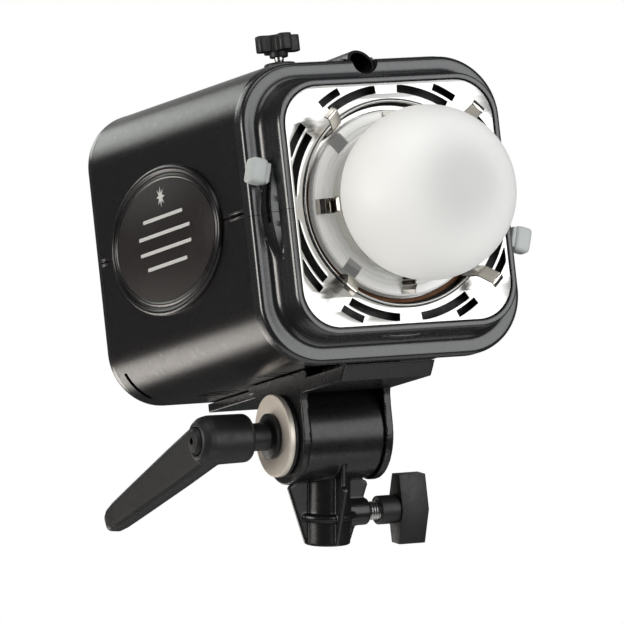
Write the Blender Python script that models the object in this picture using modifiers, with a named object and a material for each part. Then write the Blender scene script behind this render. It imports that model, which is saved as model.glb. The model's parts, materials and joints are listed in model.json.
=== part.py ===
"""A compact studio monolight strobe on its tilting stand adapter, in metres, +Z up.

The origin is the centre of the stand socket's mouth, at the bottom of the adapter. The lamp faces -Y.
The head is modelled in the lamp frame: origin on the lamp's axis in the plane of the front flange,
+X across, +Y towards the back and +Z up. That frame hangs from the tilt axis, pitched up at rest.
"""

import math

import bmesh
import bpy
from mathutils import Matrix, Vector

MM = 0.001
GAP = 0.3 * MM  # clearance between pieces that touch on the real object

# Stand adapter
TILT_AXIS_Z = 56.4 * MM
HEAD_PITCH = math.radians(14.4)
SLEEVE_R, SOCKET_R, SOCKET_DEPTH = 11.6 * MM, 8.1 * MM, 38 * MM
BARREL_R, BARREL_HALF = 23.5 * MM, 20.6 * MM
LOCK_Z = 15.2 * MM
EAR_R, EAR_IN, EAR_OUT = 25 * MM, 20.9 * MM, 24.9 * MM

# Lamp frame: the tilt axis lies behind and below the flange's centre
TILT_Y, TILT_Z = 88.7 * MM, -100.2 * MM

# Front bezel
FLANGE_W, FLANGE_H, FLANGE_CORNER = 71 * MM, 74.75 * MM, 31 * MM
FLANGE_BACK = 9 * MM
RING_HOUSING_R = 65.4 * MM

# Housing
BODY_W, BODY_CORNER, BODY_WALL = 68.5 * MM, 28 * MM, 2.6 * MM
BODY_FRONT, BODY_BACK, BODY_END = 9.3 * MM, 187.7 * MM, 196 * MM
SEAM_Z = 3.2 * MM

# Lamp end
PLATE_W, PLATE_H, PLATE_Y, PLATE_T = 56.8 * MM, 59.8 * MM, -19.5 * MM, 1.2 * MM
CLAW_ANGLE = math.radians(47)
CLAW_TRAVEL, RING_TURN = 8 * MM, math.radians(16.5)
CAM_SPARE = math.radians(2.4)  # how far each cam slot runs on past the pin's travel
PIN_R = 57.5 * MM
DOME_R, DOME_Y, NECK_R, GLASS = 43 * MM, -53.5 * MM, 36 * MM, 2.4 * MM

# Umbrella tube
TUBE_Z, TUBE_BOSS_Y = 74.2 * MM, 97 * MM

# Back panel: the middles of the four buttons
BUTTONS = ((17, 46), (33, 46), (17, 28), (33, 28))
BUTTON_NAMES = ("button_up", "button_modelling", "button_down", "button_test")

for old in list(bpy.data.objects):
    bpy.data.objects.remove(old)


def collection(name):
    made = bpy.data.collections.new(name)
    bpy.context.scene.collection.children.link(made)
    return made


MODEL = collection("monolight_strobe")
CUTTERS = collection("cutters")


def material(name, color, roughness, metallic=0.0):
    made = bpy.data.materials.new(name)
    made.use_nodes = True
    shader = made.node_tree.nodes["Principled BSDF"]
    shader.inputs["Base Color"].default_value = (*color, 1.0)
    shader.inputs["Roughness"].default_value = roughness
    shader.inputs["Metallic"].default_value = metallic
    return made


BLACK_PAINT = material("black_paint", (0.012, 0.012, 0.012), 0.3)
BLACK_BEZEL = material("black_bezel", (0.02, 0.02, 0.021), 0.35)
BLACK_TEXTURED = material("black_textured", (0.014, 0.014, 0.014), 0.55)
GREY_RUBBER = material("grey_rubber", (0.56, 0.6, 0.58), 0.6)
BRIGHT_SHEET = material("bright_sheet", (0.86, 0.86, 0.84), 0.2, 1.0)
NICKEL = material("nickel", (0.72, 0.68, 0.6), 0.25, 1.0)
STEEL = material("steel", (0.55, 0.55, 0.55), 0.35, 1.0)
FROSTED_GLASS = material("frosted_glass", (0.92, 0.92, 0.9), 0.5)
CLEAR_GLASS = material("clear_glass", (0.9, 0.93, 0.93), 0.05)
CERAMIC = material("ceramic", (0.85, 0.83, 0.78), 0.6)
BOARD_GREEN = material("board_green", (0.02, 0.16, 0.07), 0.5)
SLEEVE_BLUE = material("sleeve_blue", (0.03, 0.05, 0.16), 0.4)
ALUMINIUM = material("aluminium", (0.7, 0.71, 0.72), 0.4, 1.0)
COPPER = material("copper", (0.6, 0.3, 0.15), 0.4, 1.0)
DARK_PLASTIC = material("dark_plastic", (0.03, 0.03, 0.032), 0.45)
BADGE_PRINT = material("badge_print", (0.02, 0.013, 0.012), 0.4)
DISPLAY_WINDOW = material("display_window", (0.03, 0.05, 0.07), 0.1)
SENSOR_RED = material("sensor_red", (0.25, 0.01, 0.02), 0.1)


# Frames

def empty(name, location, parent=None, pitch=0.0):
    made = bpy.data.objects.new(name, None)
    MODEL.objects.link(made)
    made.location = location
    made.rotation_euler = (pitch, 0, 0)
    made.parent = parent
    return made


TILT = empty("tilt_axis", (0, 0, TILT_AXIS_Z), None, -HEAD_PITCH)
LAMP = empty("lamp_frame", (0, -TILT_Y, -TILT_Z), TILT)
LEVER = empty("lever_axis", (0, 0, TILT_AXIS_Z))
LOCK = empty("stand_lock_axis", (0, 0, LOCK_Z))


# Building blocks. Each mesh is built about its own origin; a piece is placed by location and parent.

def add(name, mesh, mat, parent=None, location=(0, 0, 0), rotation=(0, 0, 0)):
    made = bpy.data.objects.new(name, mesh)
    MODEL.objects.link(made)
    made.data.materials.append(mat)
    made.parent = parent
    made.location = location
    made.rotation_euler = rotation
    mesh.shade_smooth()
    mesh.set_sharp_from_angle(angle=math.radians(35))
    return made


def helper(name, mesh, parent=None, location=(0, 0, 0), rotation=(0, 0, 0)):
    made = bpy.data.objects.new(name, mesh)
    CUTTERS.objects.link(made)
    made.parent = parent
    made.location = location
    made.rotation_euler = rotation
    made.hide_render = True
    made.display_type = "WIRE"
    return made


def boolean(target, other, operation):
    modifier = target.modifiers.new(operation.lower(), "BOOLEAN")
    modifier.operation = operation
    modifier.solver = "EXACT"
    modifier.object = other


def cut(target, *others):
    for other in others:
        boolean(target, other, "DIFFERENCE")


def join(target, *others):
    for other in others:
        boolean(target, other, "UNION")


def to_mesh(name, bm):
    mesh = bpy.data.meshes.new(name)
    bmesh.ops.recalc_face_normals(bm, faces=bm.faces)
    bm.to_mesh(mesh)
    bm.free()
    return mesh


def box(low, high, bevel=0.0, segments=2):
    """A mesh of the box between two corners, with rounded edges."""
    low, high = Vector(low), Vector(high)
    bm = bmesh.new()
    bmesh.ops.create_cube(bm, size=1)
    bmesh.ops.scale(bm, vec=high - low, verts=bm.verts)
    bmesh.ops.translate(bm, vec=(low + high) / 2, verts=bm.verts)
    if bevel:
        bmesh.ops.bevel(bm, geom=bm.edges, offset=bevel, segments=segments, affect="EDGES", profile=0.5)
    return to_mesh("box", bm)


TURNS = {
    "X": Matrix.Rotation(math.radians(90), 4, "Y"),
    "Y": Matrix.Rotation(math.radians(-90), 4, "X"),
    "Z": Matrix.Identity(4),
}


def rod(radius, start, end, axis="Z", at=(0, 0), sides=32, end_radius=None, bevel=0.0):
    """A mesh of a cylinder or cone from start to end along an axis; at gives its other two coordinates."""
    bm = bmesh.new()
    bmesh.ops.create_cone(
        bm, cap_ends=True, segments=sides, radius1=radius,
        radius2=radius if end_radius is None else end_radius, depth=end - start,
    )
    if bevel:
        rims = [edge for edge in bm.edges if abs(edge.verts[0].co.z - edge.verts[1].co.z) < 1e-6]
        bmesh.ops.bevel(bm, geom=rims, offset=bevel, segments=1, affect="EDGES")
    middle = (start + end) / 2
    place = {"X": (middle, at[0], at[1]), "Y": (at[0], middle, at[1]), "Z": (at[0], at[1], middle)}[axis]
    bmesh.ops.transform(bm, matrix=Matrix.Translation(place) @ TURNS[axis], verts=bm.verts)
    return to_mesh("rod", bm)


def turned(name, profile, mat, parent, location=(0, 0, 0), axis="Y", steps=40):
    """A turned piece: profile points are (radius, distance along the axis), closed on itself."""
    area = sum(a[0] * b[1] - b[0] * a[1] for a, b in zip(profile, profile[1:] + profile[:1]))
    points = profile if area < 0 else profile[::-1]
    on_axis = [i for i, point in enumerate(points) if point[0] < 1e-7]
    bm = bmesh.new()
    verts = [bm.verts.new((r, 0, h)) for r, h in points]
    for first, second in zip(range(len(verts)), list(range(1, len(verts))) + [0]):
        if not (first in on_axis and second in on_axis):
            bm.edges.new((verts[first], verts[second]))
    mesh = bpy.data.meshes.new(name)
    bm.to_mesh(mesh)
    bm.free()
    made = bpy.data.objects.new(name, mesh)
    MODEL.objects.link(made)
    made.data.materials.append(mat)
    made.parent = parent
    made.location = location
    made.rotation_euler = TURNS[axis].to_euler()
    screw = made.modifiers.new("turn", "SCREW")
    screw.steps = screw.render_steps = steps
    screw.use_merge_vertices = True
    screw.merge_threshold = 0.00001
    screw.use_smooth_shade = True
    return made


PLANES = {
    "XY": Matrix(((1, 0, 0, 0), (0, 1, 0, 0), (0, 0, 1, 0), (0, 0, 0, 1))),
    "XZ": Matrix(((1, 0, 0, 0), (0, 0, -1, 0), (0, 1, 0, 0), (0, 0, 0, 1))),
    "YZ": Matrix(((0, 0, 1, 0), (1, 0, 0, 0), (0, 1, 0, 0), (0, 0, 0, 1))),
}


def flat(outlines, thickness, plane="XZ", at=0.0):
    """A mesh of a flat piece: the first outline is its edge and the rest are holes.

    at is where the middle of its thickness lies on the axis across the plane.
    """
    curve = bpy.data.curves.new("outline", "CURVE")
    curve.dimensions = "2D"
    curve.fill_mode = "BOTH"
    curve.extrude = thickness / 2
    for outline in outlines:
        spline = curve.splines.new("POLY")
        spline.points.add(len(outline) - 1)
        for point, (u, v) in zip(spline.points, outline):
            point.co = (u, v, 0, 1)
        spline.use_cyclic_u = True
    source = bpy.data.objects.new("outline", curve)
    CUTTERS.objects.link(source)
    graph = bpy.context.evaluated_depsgraph_get()
    mesh = bpy.data.meshes.new_from_object(source.evaluated_get(graph))
    bpy.data.objects.remove(source)
    bm = bmesh.new()
    bm.from_mesh(mesh)
    bmesh.ops.remove_doubles(bm, verts=bm.verts, dist=0.000001)
    shift = {"XY": (0, 0, at), "XZ": (0, at, 0), "YZ": (at, 0, 0)}[plane]
    bmesh.ops.transform(bm, matrix=Matrix.Translation(shift) @ PLANES[plane], verts=bm.verts)
    bpy.data.meshes.remove(mesh)
    return to_mesh("flat", bm)


def wire(name, points, radius, mat, parent, cyclic=False, resolution=2):
    """A bent wire or tube along points, as a mesh with closed ends."""
    curve = bpy.data.curves.new(name, "CURVE")
    curve.dimensions = "3D"
    curve.bevel_depth = radius
    curve.bevel_resolution = resolution
    curve.use_fill_caps = not cyclic
    spline = curve.splines.new("POLY")
    spline.points.add(len(points) - 1)
    for point, place in zip(spline.points, points):
        point.co = (*place, 1)
    spline.use_cyclic_u = cyclic
    made = bpy.data.objects.new(name, curve)
    MODEL.objects.link(made)
    made.data.materials.append(mat)
    made.parent = parent
    return made


def arc(radius, start, end, count, centre=(0, 0)):
    """Points on an arc, angles in radians."""
    steps = (start + (end - start) * i / (count - 1) for i in range(count))
    return [(centre[0] + radius * math.cos(a), centre[1] + radius * math.sin(a)) for a in steps]


def circle(radius, count=48, centre=(0, 0)):
    return arc(radius, 0, math.tau * (count - 1) / count, count, centre)


def ellipse(half_u, half_v, count, centre):
    return [(centre[0] + half_u * u, centre[1] + half_v * v) for u, v in circle(1.0, count)]


def rectangle(u0, v0, u1, v1):
    return [(u0, v0), (u1, v0), (u1, v1), (u0, v1)]


def rounded(half_u, half_v, corner, count=6, centre=(0, 0)):
    """Points around a rounded rectangle, anticlockwise from the right."""
    points = []
    for turn, (su, sv) in enumerate(((1, 1), (-1, 1), (-1, -1), (1, -1))):
        middle = (centre[0] + su * (half_u - corner), centre[1] + sv * (half_v - corner))
        points += arc(corner, turn * math.pi / 2, (turn + 1) * math.pi / 2, count, middle)
    return points


def loft(loops, closed=False):
    """A mesh through loops of points, capped at both ends, or closed on itself as a ring."""
    bm = bmesh.new()
    rows = [[bm.verts.new(point) for point in loop] for loop in loops]
    pairs = list(zip(rows, rows[1:])) + ([(rows[-1], rows[0])] if closed else [])
    for first, second in pairs:
        for i, vert in enumerate(first):
            j = (i + 1) % len(first)
            bm.faces.new((vert, first[j], second[j], second[i]))
    if not closed:
        bm.faces.new(rows[0])
        bm.faces.new(rows[-1][::-1])
    return to_mesh("loft", bm)


def lifted(outline, y):
    """The points of an outline in the lamp's XZ plane, at a distance y along its axis."""
    return [(u, y, v) for u, v in outline]


# Housing

def body_section(y):
    """Half height and centre of the housing's section, which rises a little towards the back."""
    along = (y - BODY_FRONT) / (BODY_END - BODY_FRONT)
    return (73.5 + 1.5 * along) * MM, (2.5 + 1.5 * along) * MM


def half_wall(y, side):
    """The closed outline of one half shell's wall: side is 1 for the upper and -1 for the lower half."""
    half, middle = body_section(y)
    seam = SEAM_Z - middle + side * GAP / 2

    def half_loop(shrink):
        w, h, corner = BODY_W - shrink, half - shrink, BODY_CORNER - shrink
        right = arc(corner, 0, math.pi / 2, 7, (w - corner, h - corner))
        left = arc(corner, math.pi / 2, math.pi, 7, (corner - w, h - corner))
        return [(w, side * seam)] + right + left + [(-w, side * seam)]

    outline = half_loop(0) + half_loop(BODY_WALL)[::-1]
    return [(u, y, middle + side * v) for u, v in outline]


def housing_half(name, side):
    stations = (BODY_FRONT, BODY_FRONT + 60 * MM, BODY_FRONT + 120 * MM, BODY_BACK)
    return add(name, loft([half_wall(y, side) for y in stations]), BLACK_PAINT, LAMP)


def make_housing():
    """Two half shells: the umbrella tube lies in a slot of the upper one, and the lower one is vented."""
    upper = housing_half("upper_housing", 1)
    tube_slot = rod(6.9 * MM, -5 * MM, 150.5 * MM, "Y", (0, TUBE_Z), 24)
    boss_hole = rod(8.4 * MM, 60 * MM, 90 * MM, "Z", (0, TUBE_BOSS_Y), 24)
    cut(upper, helper("tube_slot", tube_slot, LAMP), helper("boss_hole", boss_hole, LAMP))

    lower = housing_half("lower_housing", -1)
    reach = 25 * MM * math.sqrt(0.5)  # from the corner's centre to its wall, across and down
    for side in (1, -1):
        notch = helper(
            "corner_vent", box((-3 * MM, 177.3 * MM, -8 * MM), (6 * MM, 180.7 * MM, 8 * MM)), LAMP,
            (side * (BODY_W - BODY_CORNER + reach), 0, -42.8 * MM - reach),
            (0, math.radians(45 if side > 0 else 135), 0),
        )
        cut(lower, notch)
    for row in range(6):
        y = (66 + 7 * row) * MM if row < 3 else (118 + 7 * row) * MM
        for side in (1, -1):
            x = side * 30 * MM
            slot = box((x - 9 * MM, y, -76 * MM), (x + 9 * MM, y + 3 * MM, -60 * MM))
            cut(lower, helper("floor_vent", slot, LAMP))


# Front bezel

def bezel_loops():
    """The closed cross-section of the bezel: flange, swept valley, inner rim and hollow back."""
    section = (
        (0, 0, FLANGE_BACK), (0, 0, 2.2), (0.6, 0.6, 0.6), (2.0, 2.0, 0), (5.2, 5.2, 0),
        (7.6, 7.9, -1.4), (9.1, 9.7, -5), (9.9, 10.7, -10), (10.5, 11.25, -17.8), (11.1, 11.85, -19.4),
        (12.3, 13.05, -20), (13.8, 14.55, -20), (13.8, 14.55, -15.8), (12.6, 13.4, -15.4),
        (12.6, 13.4, -5), (9.2, 9.2, 1.6), (5.2, 5.2, 3.4), (5.2, 5.2, FLANGE_BACK),
    )
    loops = []
    for inset_w, inset_h, y in section:
        y = y if y == FLANGE_BACK else y * MM
        corner = max(FLANGE_CORNER - 0.85 * inset_w * MM, 19 * MM)
        outline = rounded(FLANGE_W - inset_w * MM, FLANGE_H - inset_h * MM, corner, 6)
        loops.append(lifted(outline, y))
    return loops


def bezel_half(name, side):
    bezel = add(name, loft(bezel_loops(), closed=True), BLACK_BEZEL, LAMP)
    ring_housing = rod(RING_HOUSING_R, -11 * MM, 3 * MM, "Y", (0, 0), 56, bevel=0.6 * MM)
    join(bezel, helper("ring_housing", ring_housing, LAMP))
    cut(bezel, helper("ring_cavity", rod(63.9 * MM, -10.1 * MM, -5.4 * MM, "Y", (0, 0), 56), LAMP))
    inner = rounded(PLATE_W + 1.4 * MM, PLATE_H + 1.4 * MM, 19 * MM, 7)
    cut(bezel, helper("bezel_inside", flat([inner], 21 * MM, "XZ", -5.2 * MM), LAMP))
    for turn in (1, -1):
        window = helper(
            "lever_window",
            box((-70 * MM, -9.9 * MM, -5 * MM), (-58 * MM, -5.8 * MM, 25.5 * MM)), LAMP,
            (0, 0, 0), (0, 0 if turn > 0 else math.pi, 0),
        )
        cut(bezel, window)
    if side > 0:
        cut(bezel, helper("mouth_notch", rod(6.9 * MM, -5 * MM, 15 * MM, "Y", (0, TUBE_Z), 24), LAMP))
    low, high = (-90 * MM, -40 * MM, 0), (90 * MM, 30 * MM, 90 * MM)
    other = helper(
        name + "_trim", box(low, high), LAMP, (0, 0, side * GAP / 2), (0, 0 if side < 0 else math.pi, 0)
    )
    cut(bezel, other)


def make_bezel():
    bezel_half("front_bezel_upper", 1)
    bezel_half("front_bezel_lower", -1)
    inside = rounded(PLATE_W + 0.9 * MM, PLATE_H + 0.9 * MM, 19 * MM)
    holes = [circle(21 * MM, 32)]
    holes += [circle(2 * MM, 12, (x * MM, z * MM)) for x in (-44, 44) for z in (-48, 48)]
    add("front_chassis_plate", flat([inside] + holes, 2 * MM, "XZ", -2.5 * MM), ALUMINIUM, LAMP)


# Lamp end: reflector plate, glass and claws

def slot_outline(inner, outer, start, end, flip, limit):
    """One arc slot of the reflector plate; its outer edge stays inside the plate's straight side."""
    steps = [start + (end - start) * i / 4 for i in range(5)]
    near = [(inner, a) for a in steps]
    far = [(min(outer, limit / math.cos(a)), a) for a in reversed(steps)]
    points = [(r * math.cos(a), r * math.sin(a)) for r, a in near + far]
    return [(v, u) for u, v in points] if flip else points


def plate_slots():
    slots = []
    for flip, half in ((False, PLATE_W), (True, PLATE_H)):
        limit = half - 1.4 * MM
        last = math.radians(39 if not flip else 34)
        outer_last = math.radians(40 if not flip else 35)
        for su in (1, -1):
            for sv in (1, -1):
                near = slot_outline(55.2 * MM, 58.8 * MM, math.radians(6), last, flip, limit)
                far = slot_outline(60.6 * MM, 63.2 * MM, math.radians(26.5), outer_last, flip, limit)
                slots += [[(su * u, sv * v) for u, v in slot] for slot in (near, far)]
    return slots


def make_reflector():
    edge = rounded(PLATE_W, PLATE_H, 19.5 * MM, 8)
    outlines = [edge, circle(51.9 * MM, 48)] + plate_slots()
    middle = PLATE_Y + PLATE_T / 2
    add("reflector_plate", flat(outlines, PLATE_T, "XZ", middle), BRIGHT_SHEET, LAMP)
    turned("lip_ring", [
        (50.2 * MM, -20.2 * MM), (50.8 * MM, -20.6 * MM), (51.5 * MM, -20.2 * MM), (51.5 * MM, -17.2 * MM),
        (54.5 * MM, -17.2 * MM), (54.5 * MM, -16.2 * MM), (50.2 * MM, -16.2 * MM),
    ], BRIGHT_SHEET, LAMP, steps=48)
    floor = turned("inner_reflector", [
        (33.6 * MM, -19.3 * MM), (41 * MM, -19.3 * MM), (41.4 * MM, -19.7 * MM), (45.4 * MM, -19.7 * MM),
        (46.2 * MM, -19.0 * MM), (46.2 * MM, -16.6 * MM), (45 * MM, -16.6 * MM), (45 * MM, -18.3 * MM),
        (35.6 * MM, -18.3 * MM), (35.6 * MM, -3.9 * MM), (33.6 * MM, -3.9 * MM),
    ], BRIGHT_SHEET, LAMP, steps=48)
    for angle in claw_angles():
        notch = box((38.6 * MM, -24 * MM, -4.15 * MM), (50 * MM, -15 * MM, 4.15 * MM))
        cut(floor, helper("claw_slot", notch, LAMP, (0, 0, 0), (0, -angle, 0)))


def claw_angles():
    return [CLAW_ANGLE, math.pi - CLAW_ANGLE, math.pi + CLAW_ANGLE, -CLAW_ANGLE]


def make_glass():
    """The globe on its neck, and the flash tube, its socket and the modelling lamp inside."""
    def cap(radius, neck):
        """Sphere points from the front pole back to where the neck begins."""
        last = math.pi - math.asin(neck / radius)
        angles = [last * i / 11 for i in range(1, 12)]
        pole = [(0.0, DOME_Y - radius)]
        return pole + [(radius * math.sin(a), DOME_Y - radius * math.cos(a)) for a in angles]

    outside = cap(DOME_R, NECK_R)
    inside = cap(DOME_R - GLASS, NECK_R - GLASS)
    foot = [(NECK_R, -19.8 * MM), (NECK_R - GLASS, -19.8 * MM)]
    turned("glass_dome", outside + foot + inside[::-1], FROSTED_GLASS, LAMP)

    ring_r, tube_r, ring_y = 26 * MM, 4 * MM, -40 * MM
    first = math.radians(-78)
    ring = [(u, ring_y, v) for u, v in arc(ring_r, first, first + math.radians(336), 25)]
    legs = [(x, -14.2 * MM, z) for x, _, z in (ring[0], ring[-1])]
    wire("flash_tube", [legs[0]] + ring + [legs[1]], tube_r, CLEAR_GLASS, LAMP)
    turned("lamp_socket", [
        (12 * MM, -22 * MM), (17 * MM, -22 * MM), (18 * MM, -13.8 * MM), (33 * MM, -13.8 * MM),
        (33 * MM, -5 * MM), (18.8 * MM, -5 * MM), (18.8 * MM, 16 * MM), (8 * MM, 22 * MM), (0, 22 * MM),
        (0, 2 * MM), (12 * MM, 2 * MM),
    ], CERAMIC, LAMP, steps=32)
    turned("modelling_lamp", [
        (0, -72 * MM), (5 * MM, -70.5 * MM), (8 * MM, -66 * MM), (9 * MM, -58 * MM), (9 * MM, -34 * MM),
        (11.4 * MM, -28 * MM), (11.4 * MM, 1 * MM), (0, 1 * MM),
    ], CLEAR_GLASS, LAMP, steps=32)


def strip(points, thickness):
    """The outline of a bent strip: its centre line offset to both sides."""
    left, right = [], []
    for i, point in enumerate(points):
        before = Vector(points[max(i - 1, 0)])
        after = Vector(points[min(i + 1, len(points) - 1)])
        here = Vector(point)
        first = (here - before).normalized() if i else (after - here).normalized()
        second = (after - here).normalized() if i < len(points) - 1 else first
        normal = Vector((-(first + second).y, (first + second).x)).normalized()
        reach = thickness / 2 / max(normal.dot(Vector((-first.y, first.x))), 0.4)
        left.append(tuple(here + normal * reach))
        right.append(tuple(here - normal * reach))
    return left + right[::-1]


def make_claws():
    """Four spring claws: foot behind the reflector, leg through its slot, and a hook turned outwards.

    The outline is in the radial plane: u is the radius and v the distance in front of the flange.
    """
    line = [
        (60.5, 13.8), (49.3, 13.8), (48.9, 14.6), (49.3, 20), (50.9, 30.5), (51.9, 32.6),
        (57.6, 38.0), (58.8, 38.2), (60.6, 36.4),
    ]
    outline = strip([(u * MM, v * MM) for u, v in line], 1.2 * MM)
    names = ("claw_upper_right", "claw_upper_left", "claw_lower_left", "claw_lower_right")
    for name, angle in zip(names, claw_angles()):
        mesh = flat([outline], 6.8 * MM, "XY", 0)
        mesh.transform(Matrix.Rotation(-angle, 4, "Y") @ Matrix.Scale(-1, 4, (0, 1, 0)))
        mesh.flip_normals()
        claw = add(name, mesh, NICKEL, LAMP)
        place = (PIN_R * math.cos(angle), PIN_R * math.sin(angle))
        join(claw, helper(name + "_pin", rod(1.6 * MM, -13.6 * MM, -6.9 * MM, "Y", place, 16), LAMP))


def cam_slot(angle):
    """The slot in the lock ring that draws one claw's pin inwards as the ring turns."""
    fall = CLAW_TRAVEL / RING_TURN
    line = []
    for i in range(9):
        back = -CAM_SPARE + (RING_TURN + 2 * CAM_SPARE) * i / 8
        radius = PIN_R - fall * back
        line.append((radius * math.cos(angle - back), radius * math.sin(angle - back)))
    return strip(line, 4.2 * MM)


def make_lock_ring():
    """The cam ring with its two lever tabs, their caps, and the spring that returns it."""
    tab = math.radians(163.5)
    outline = []
    for middle in (tab, tab + math.pi):
        half = math.asin(3.4 / 62.6)
        outline += arc(62.6 * MM, middle - math.pi + half, middle - half, 20)
        along = Vector((math.cos(middle), math.sin(middle)))
        across = Vector((-math.sin(middle), math.cos(middle)))
        outline += [tuple(along * 74.6 * MM + across * side * 3.4 * MM) for side in (-1, 1)]
    holes = [circle(44 * MM, 40)] + [cam_slot(angle) for angle in claw_angles()]
    add("lock_ring", flat([outline] + holes, 2.8 * MM, "XZ", -7.8 * MM), STEEL, LAMP)
    for name, angle in (("lever_cap_left", tab), ("lever_cap_right", tab + math.pi)):
        cap = add(
            name, box((66.6 * MM, -13.2 * MM, -6.6 * MM), (77.6 * MM, -3.6 * MM, 6.6 * MM), 2.2 * MM, 3),
            GREY_RUBBER, LAMP, (0, 0, 0), (0, -angle, 0),
        )
        slot = helper(
            name + "_slot", box((60 * MM, -9.5 * MM, -3.7 * MM), (74.9 * MM, -6.1 * MM, 3.7 * MM)),
            LAMP, (0, 0, 0), (0, -angle, 0),
        )
        cut(cap, slot)
    bow = arc(60 * MM, math.radians(200), math.radians(340), 15)
    wire("ring_return_spring", [(u, -4.6 * MM, v) for u, v in bow], 0.6 * MM, STEEL, LAMP, resolution=1)


def make_clips():
    """Corrugated spring clips that hold the glass neck at four points."""
    line = [
        (45.2, 20.4), (42.4, 20.6), (41.0, 22.2), (39.6, 20.8), (38.2, 22.8), (37.2, 22.4), (37.0, 26.4),
        (37.9, 28.0), (37.0, 29.4),
    ]
    outline = strip([(u * MM, v * MM) for u, v in line], 0.6 * MM)
    names = ("dome_clip_right", "dome_clip_top", "dome_clip_left", "dome_clip_bottom")
    for turn, name in enumerate(names):
        mesh = flat([outline], 7.5 * MM, "XY", 0)
        mesh.transform(Matrix.Rotation(-turn * math.pi / 2, 4, "Y") @ Matrix.Scale(-1, 4, (0, 1, 0)))
        mesh.flip_normals()
        add(name, mesh, STEEL, LAMP)


# Inside the housing

def make_electronics():
    """Boards, capacitors, heat sink and fan, as plain solids of the right size and place."""
    board = rounded(54 * MM, 62 * MM, 3 * MM, 3, (0, 96 * MM))
    add("main_board", flat([board], 1.6 * MM, "XY", -50 * MM), BOARD_GREEN, LAMP)
    for name, x in (("capacitor_left", -33), ("capacitor_right", 33)):
        turned(name, [
            (0, 36 * MM), (23.5 * MM, 36 * MM), (25 * MM, 37.5 * MM), (25 * MM, 126 * MM),
            (23.5 * MM, 128 * MM), (0, 128 * MM),
        ], SLEEVE_BLUE, LAMP, (x * MM, 0, 30 * MM), steps=24)
    comb = [(-16, 0), (16, 0)]
    for x in (16, 10, 4, -2, -8):
        comb += [(x, 20), (x - 2, 20), (x - 2, 4), (x - 6, 4)]
    comb += [(-14, 20), (-16, 20)]
    outline = [(u * MM, (v - 48.6) * MM) for u, v in comb]
    add("heat_sink", flat([outline], 60 * MM, "XZ", 78 * MM), ALUMINIUM, LAMP)
    add(
        "trigger_transformer", box((26 * MM, 116 * MM, -48.6 * MM), (46 * MM, 140 * MM, -28 * MM), 2 * MM),
        COPPER, LAMP,
    )
    middle = (0, 0, 4 * MM)
    square = [rounded(30 * MM, 30 * MM, 4 * MM, 4), circle(28.6 * MM, 40)]
    frame = add("fan_frame", flat(square, 15 * MM, "XZ", 150.5 * MM), DARK_PLASTIC, LAMP, middle)
    bar = box((-1 * MM, 156 * MM, -29.5 * MM), (1 * MM, 158 * MM, 29.5 * MM))
    join(frame, helper("fan_strut", bar, LAMP, middle))
    hub = rod(10 * MM, 143.4 * MM, 155.4 * MM, "Y", (0, 0), 24, bevel=1 * MM)
    rotor = add("fan_rotor", hub, DARK_PLASTIC, LAMP, middle)
    for blade in range(5):
        mesh = box((-0.8 * MM, 144.5 * MM, 8 * MM), (0.8 * MM, 154.5 * MM, 27.6 * MM))
        turn = Matrix.Rotation(math.tau * blade / 5, 4, "Y") @ Matrix.Translation((0, 149.5 * MM, 0))
        lean = Matrix.Rotation(math.radians(32), 4, "Z") @ Matrix.Translation((0, -149.5 * MM, 0))
        mesh.transform(turn @ lean)
        join(rotor, helper("fan_blade", mesh, LAMP, middle))


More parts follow.
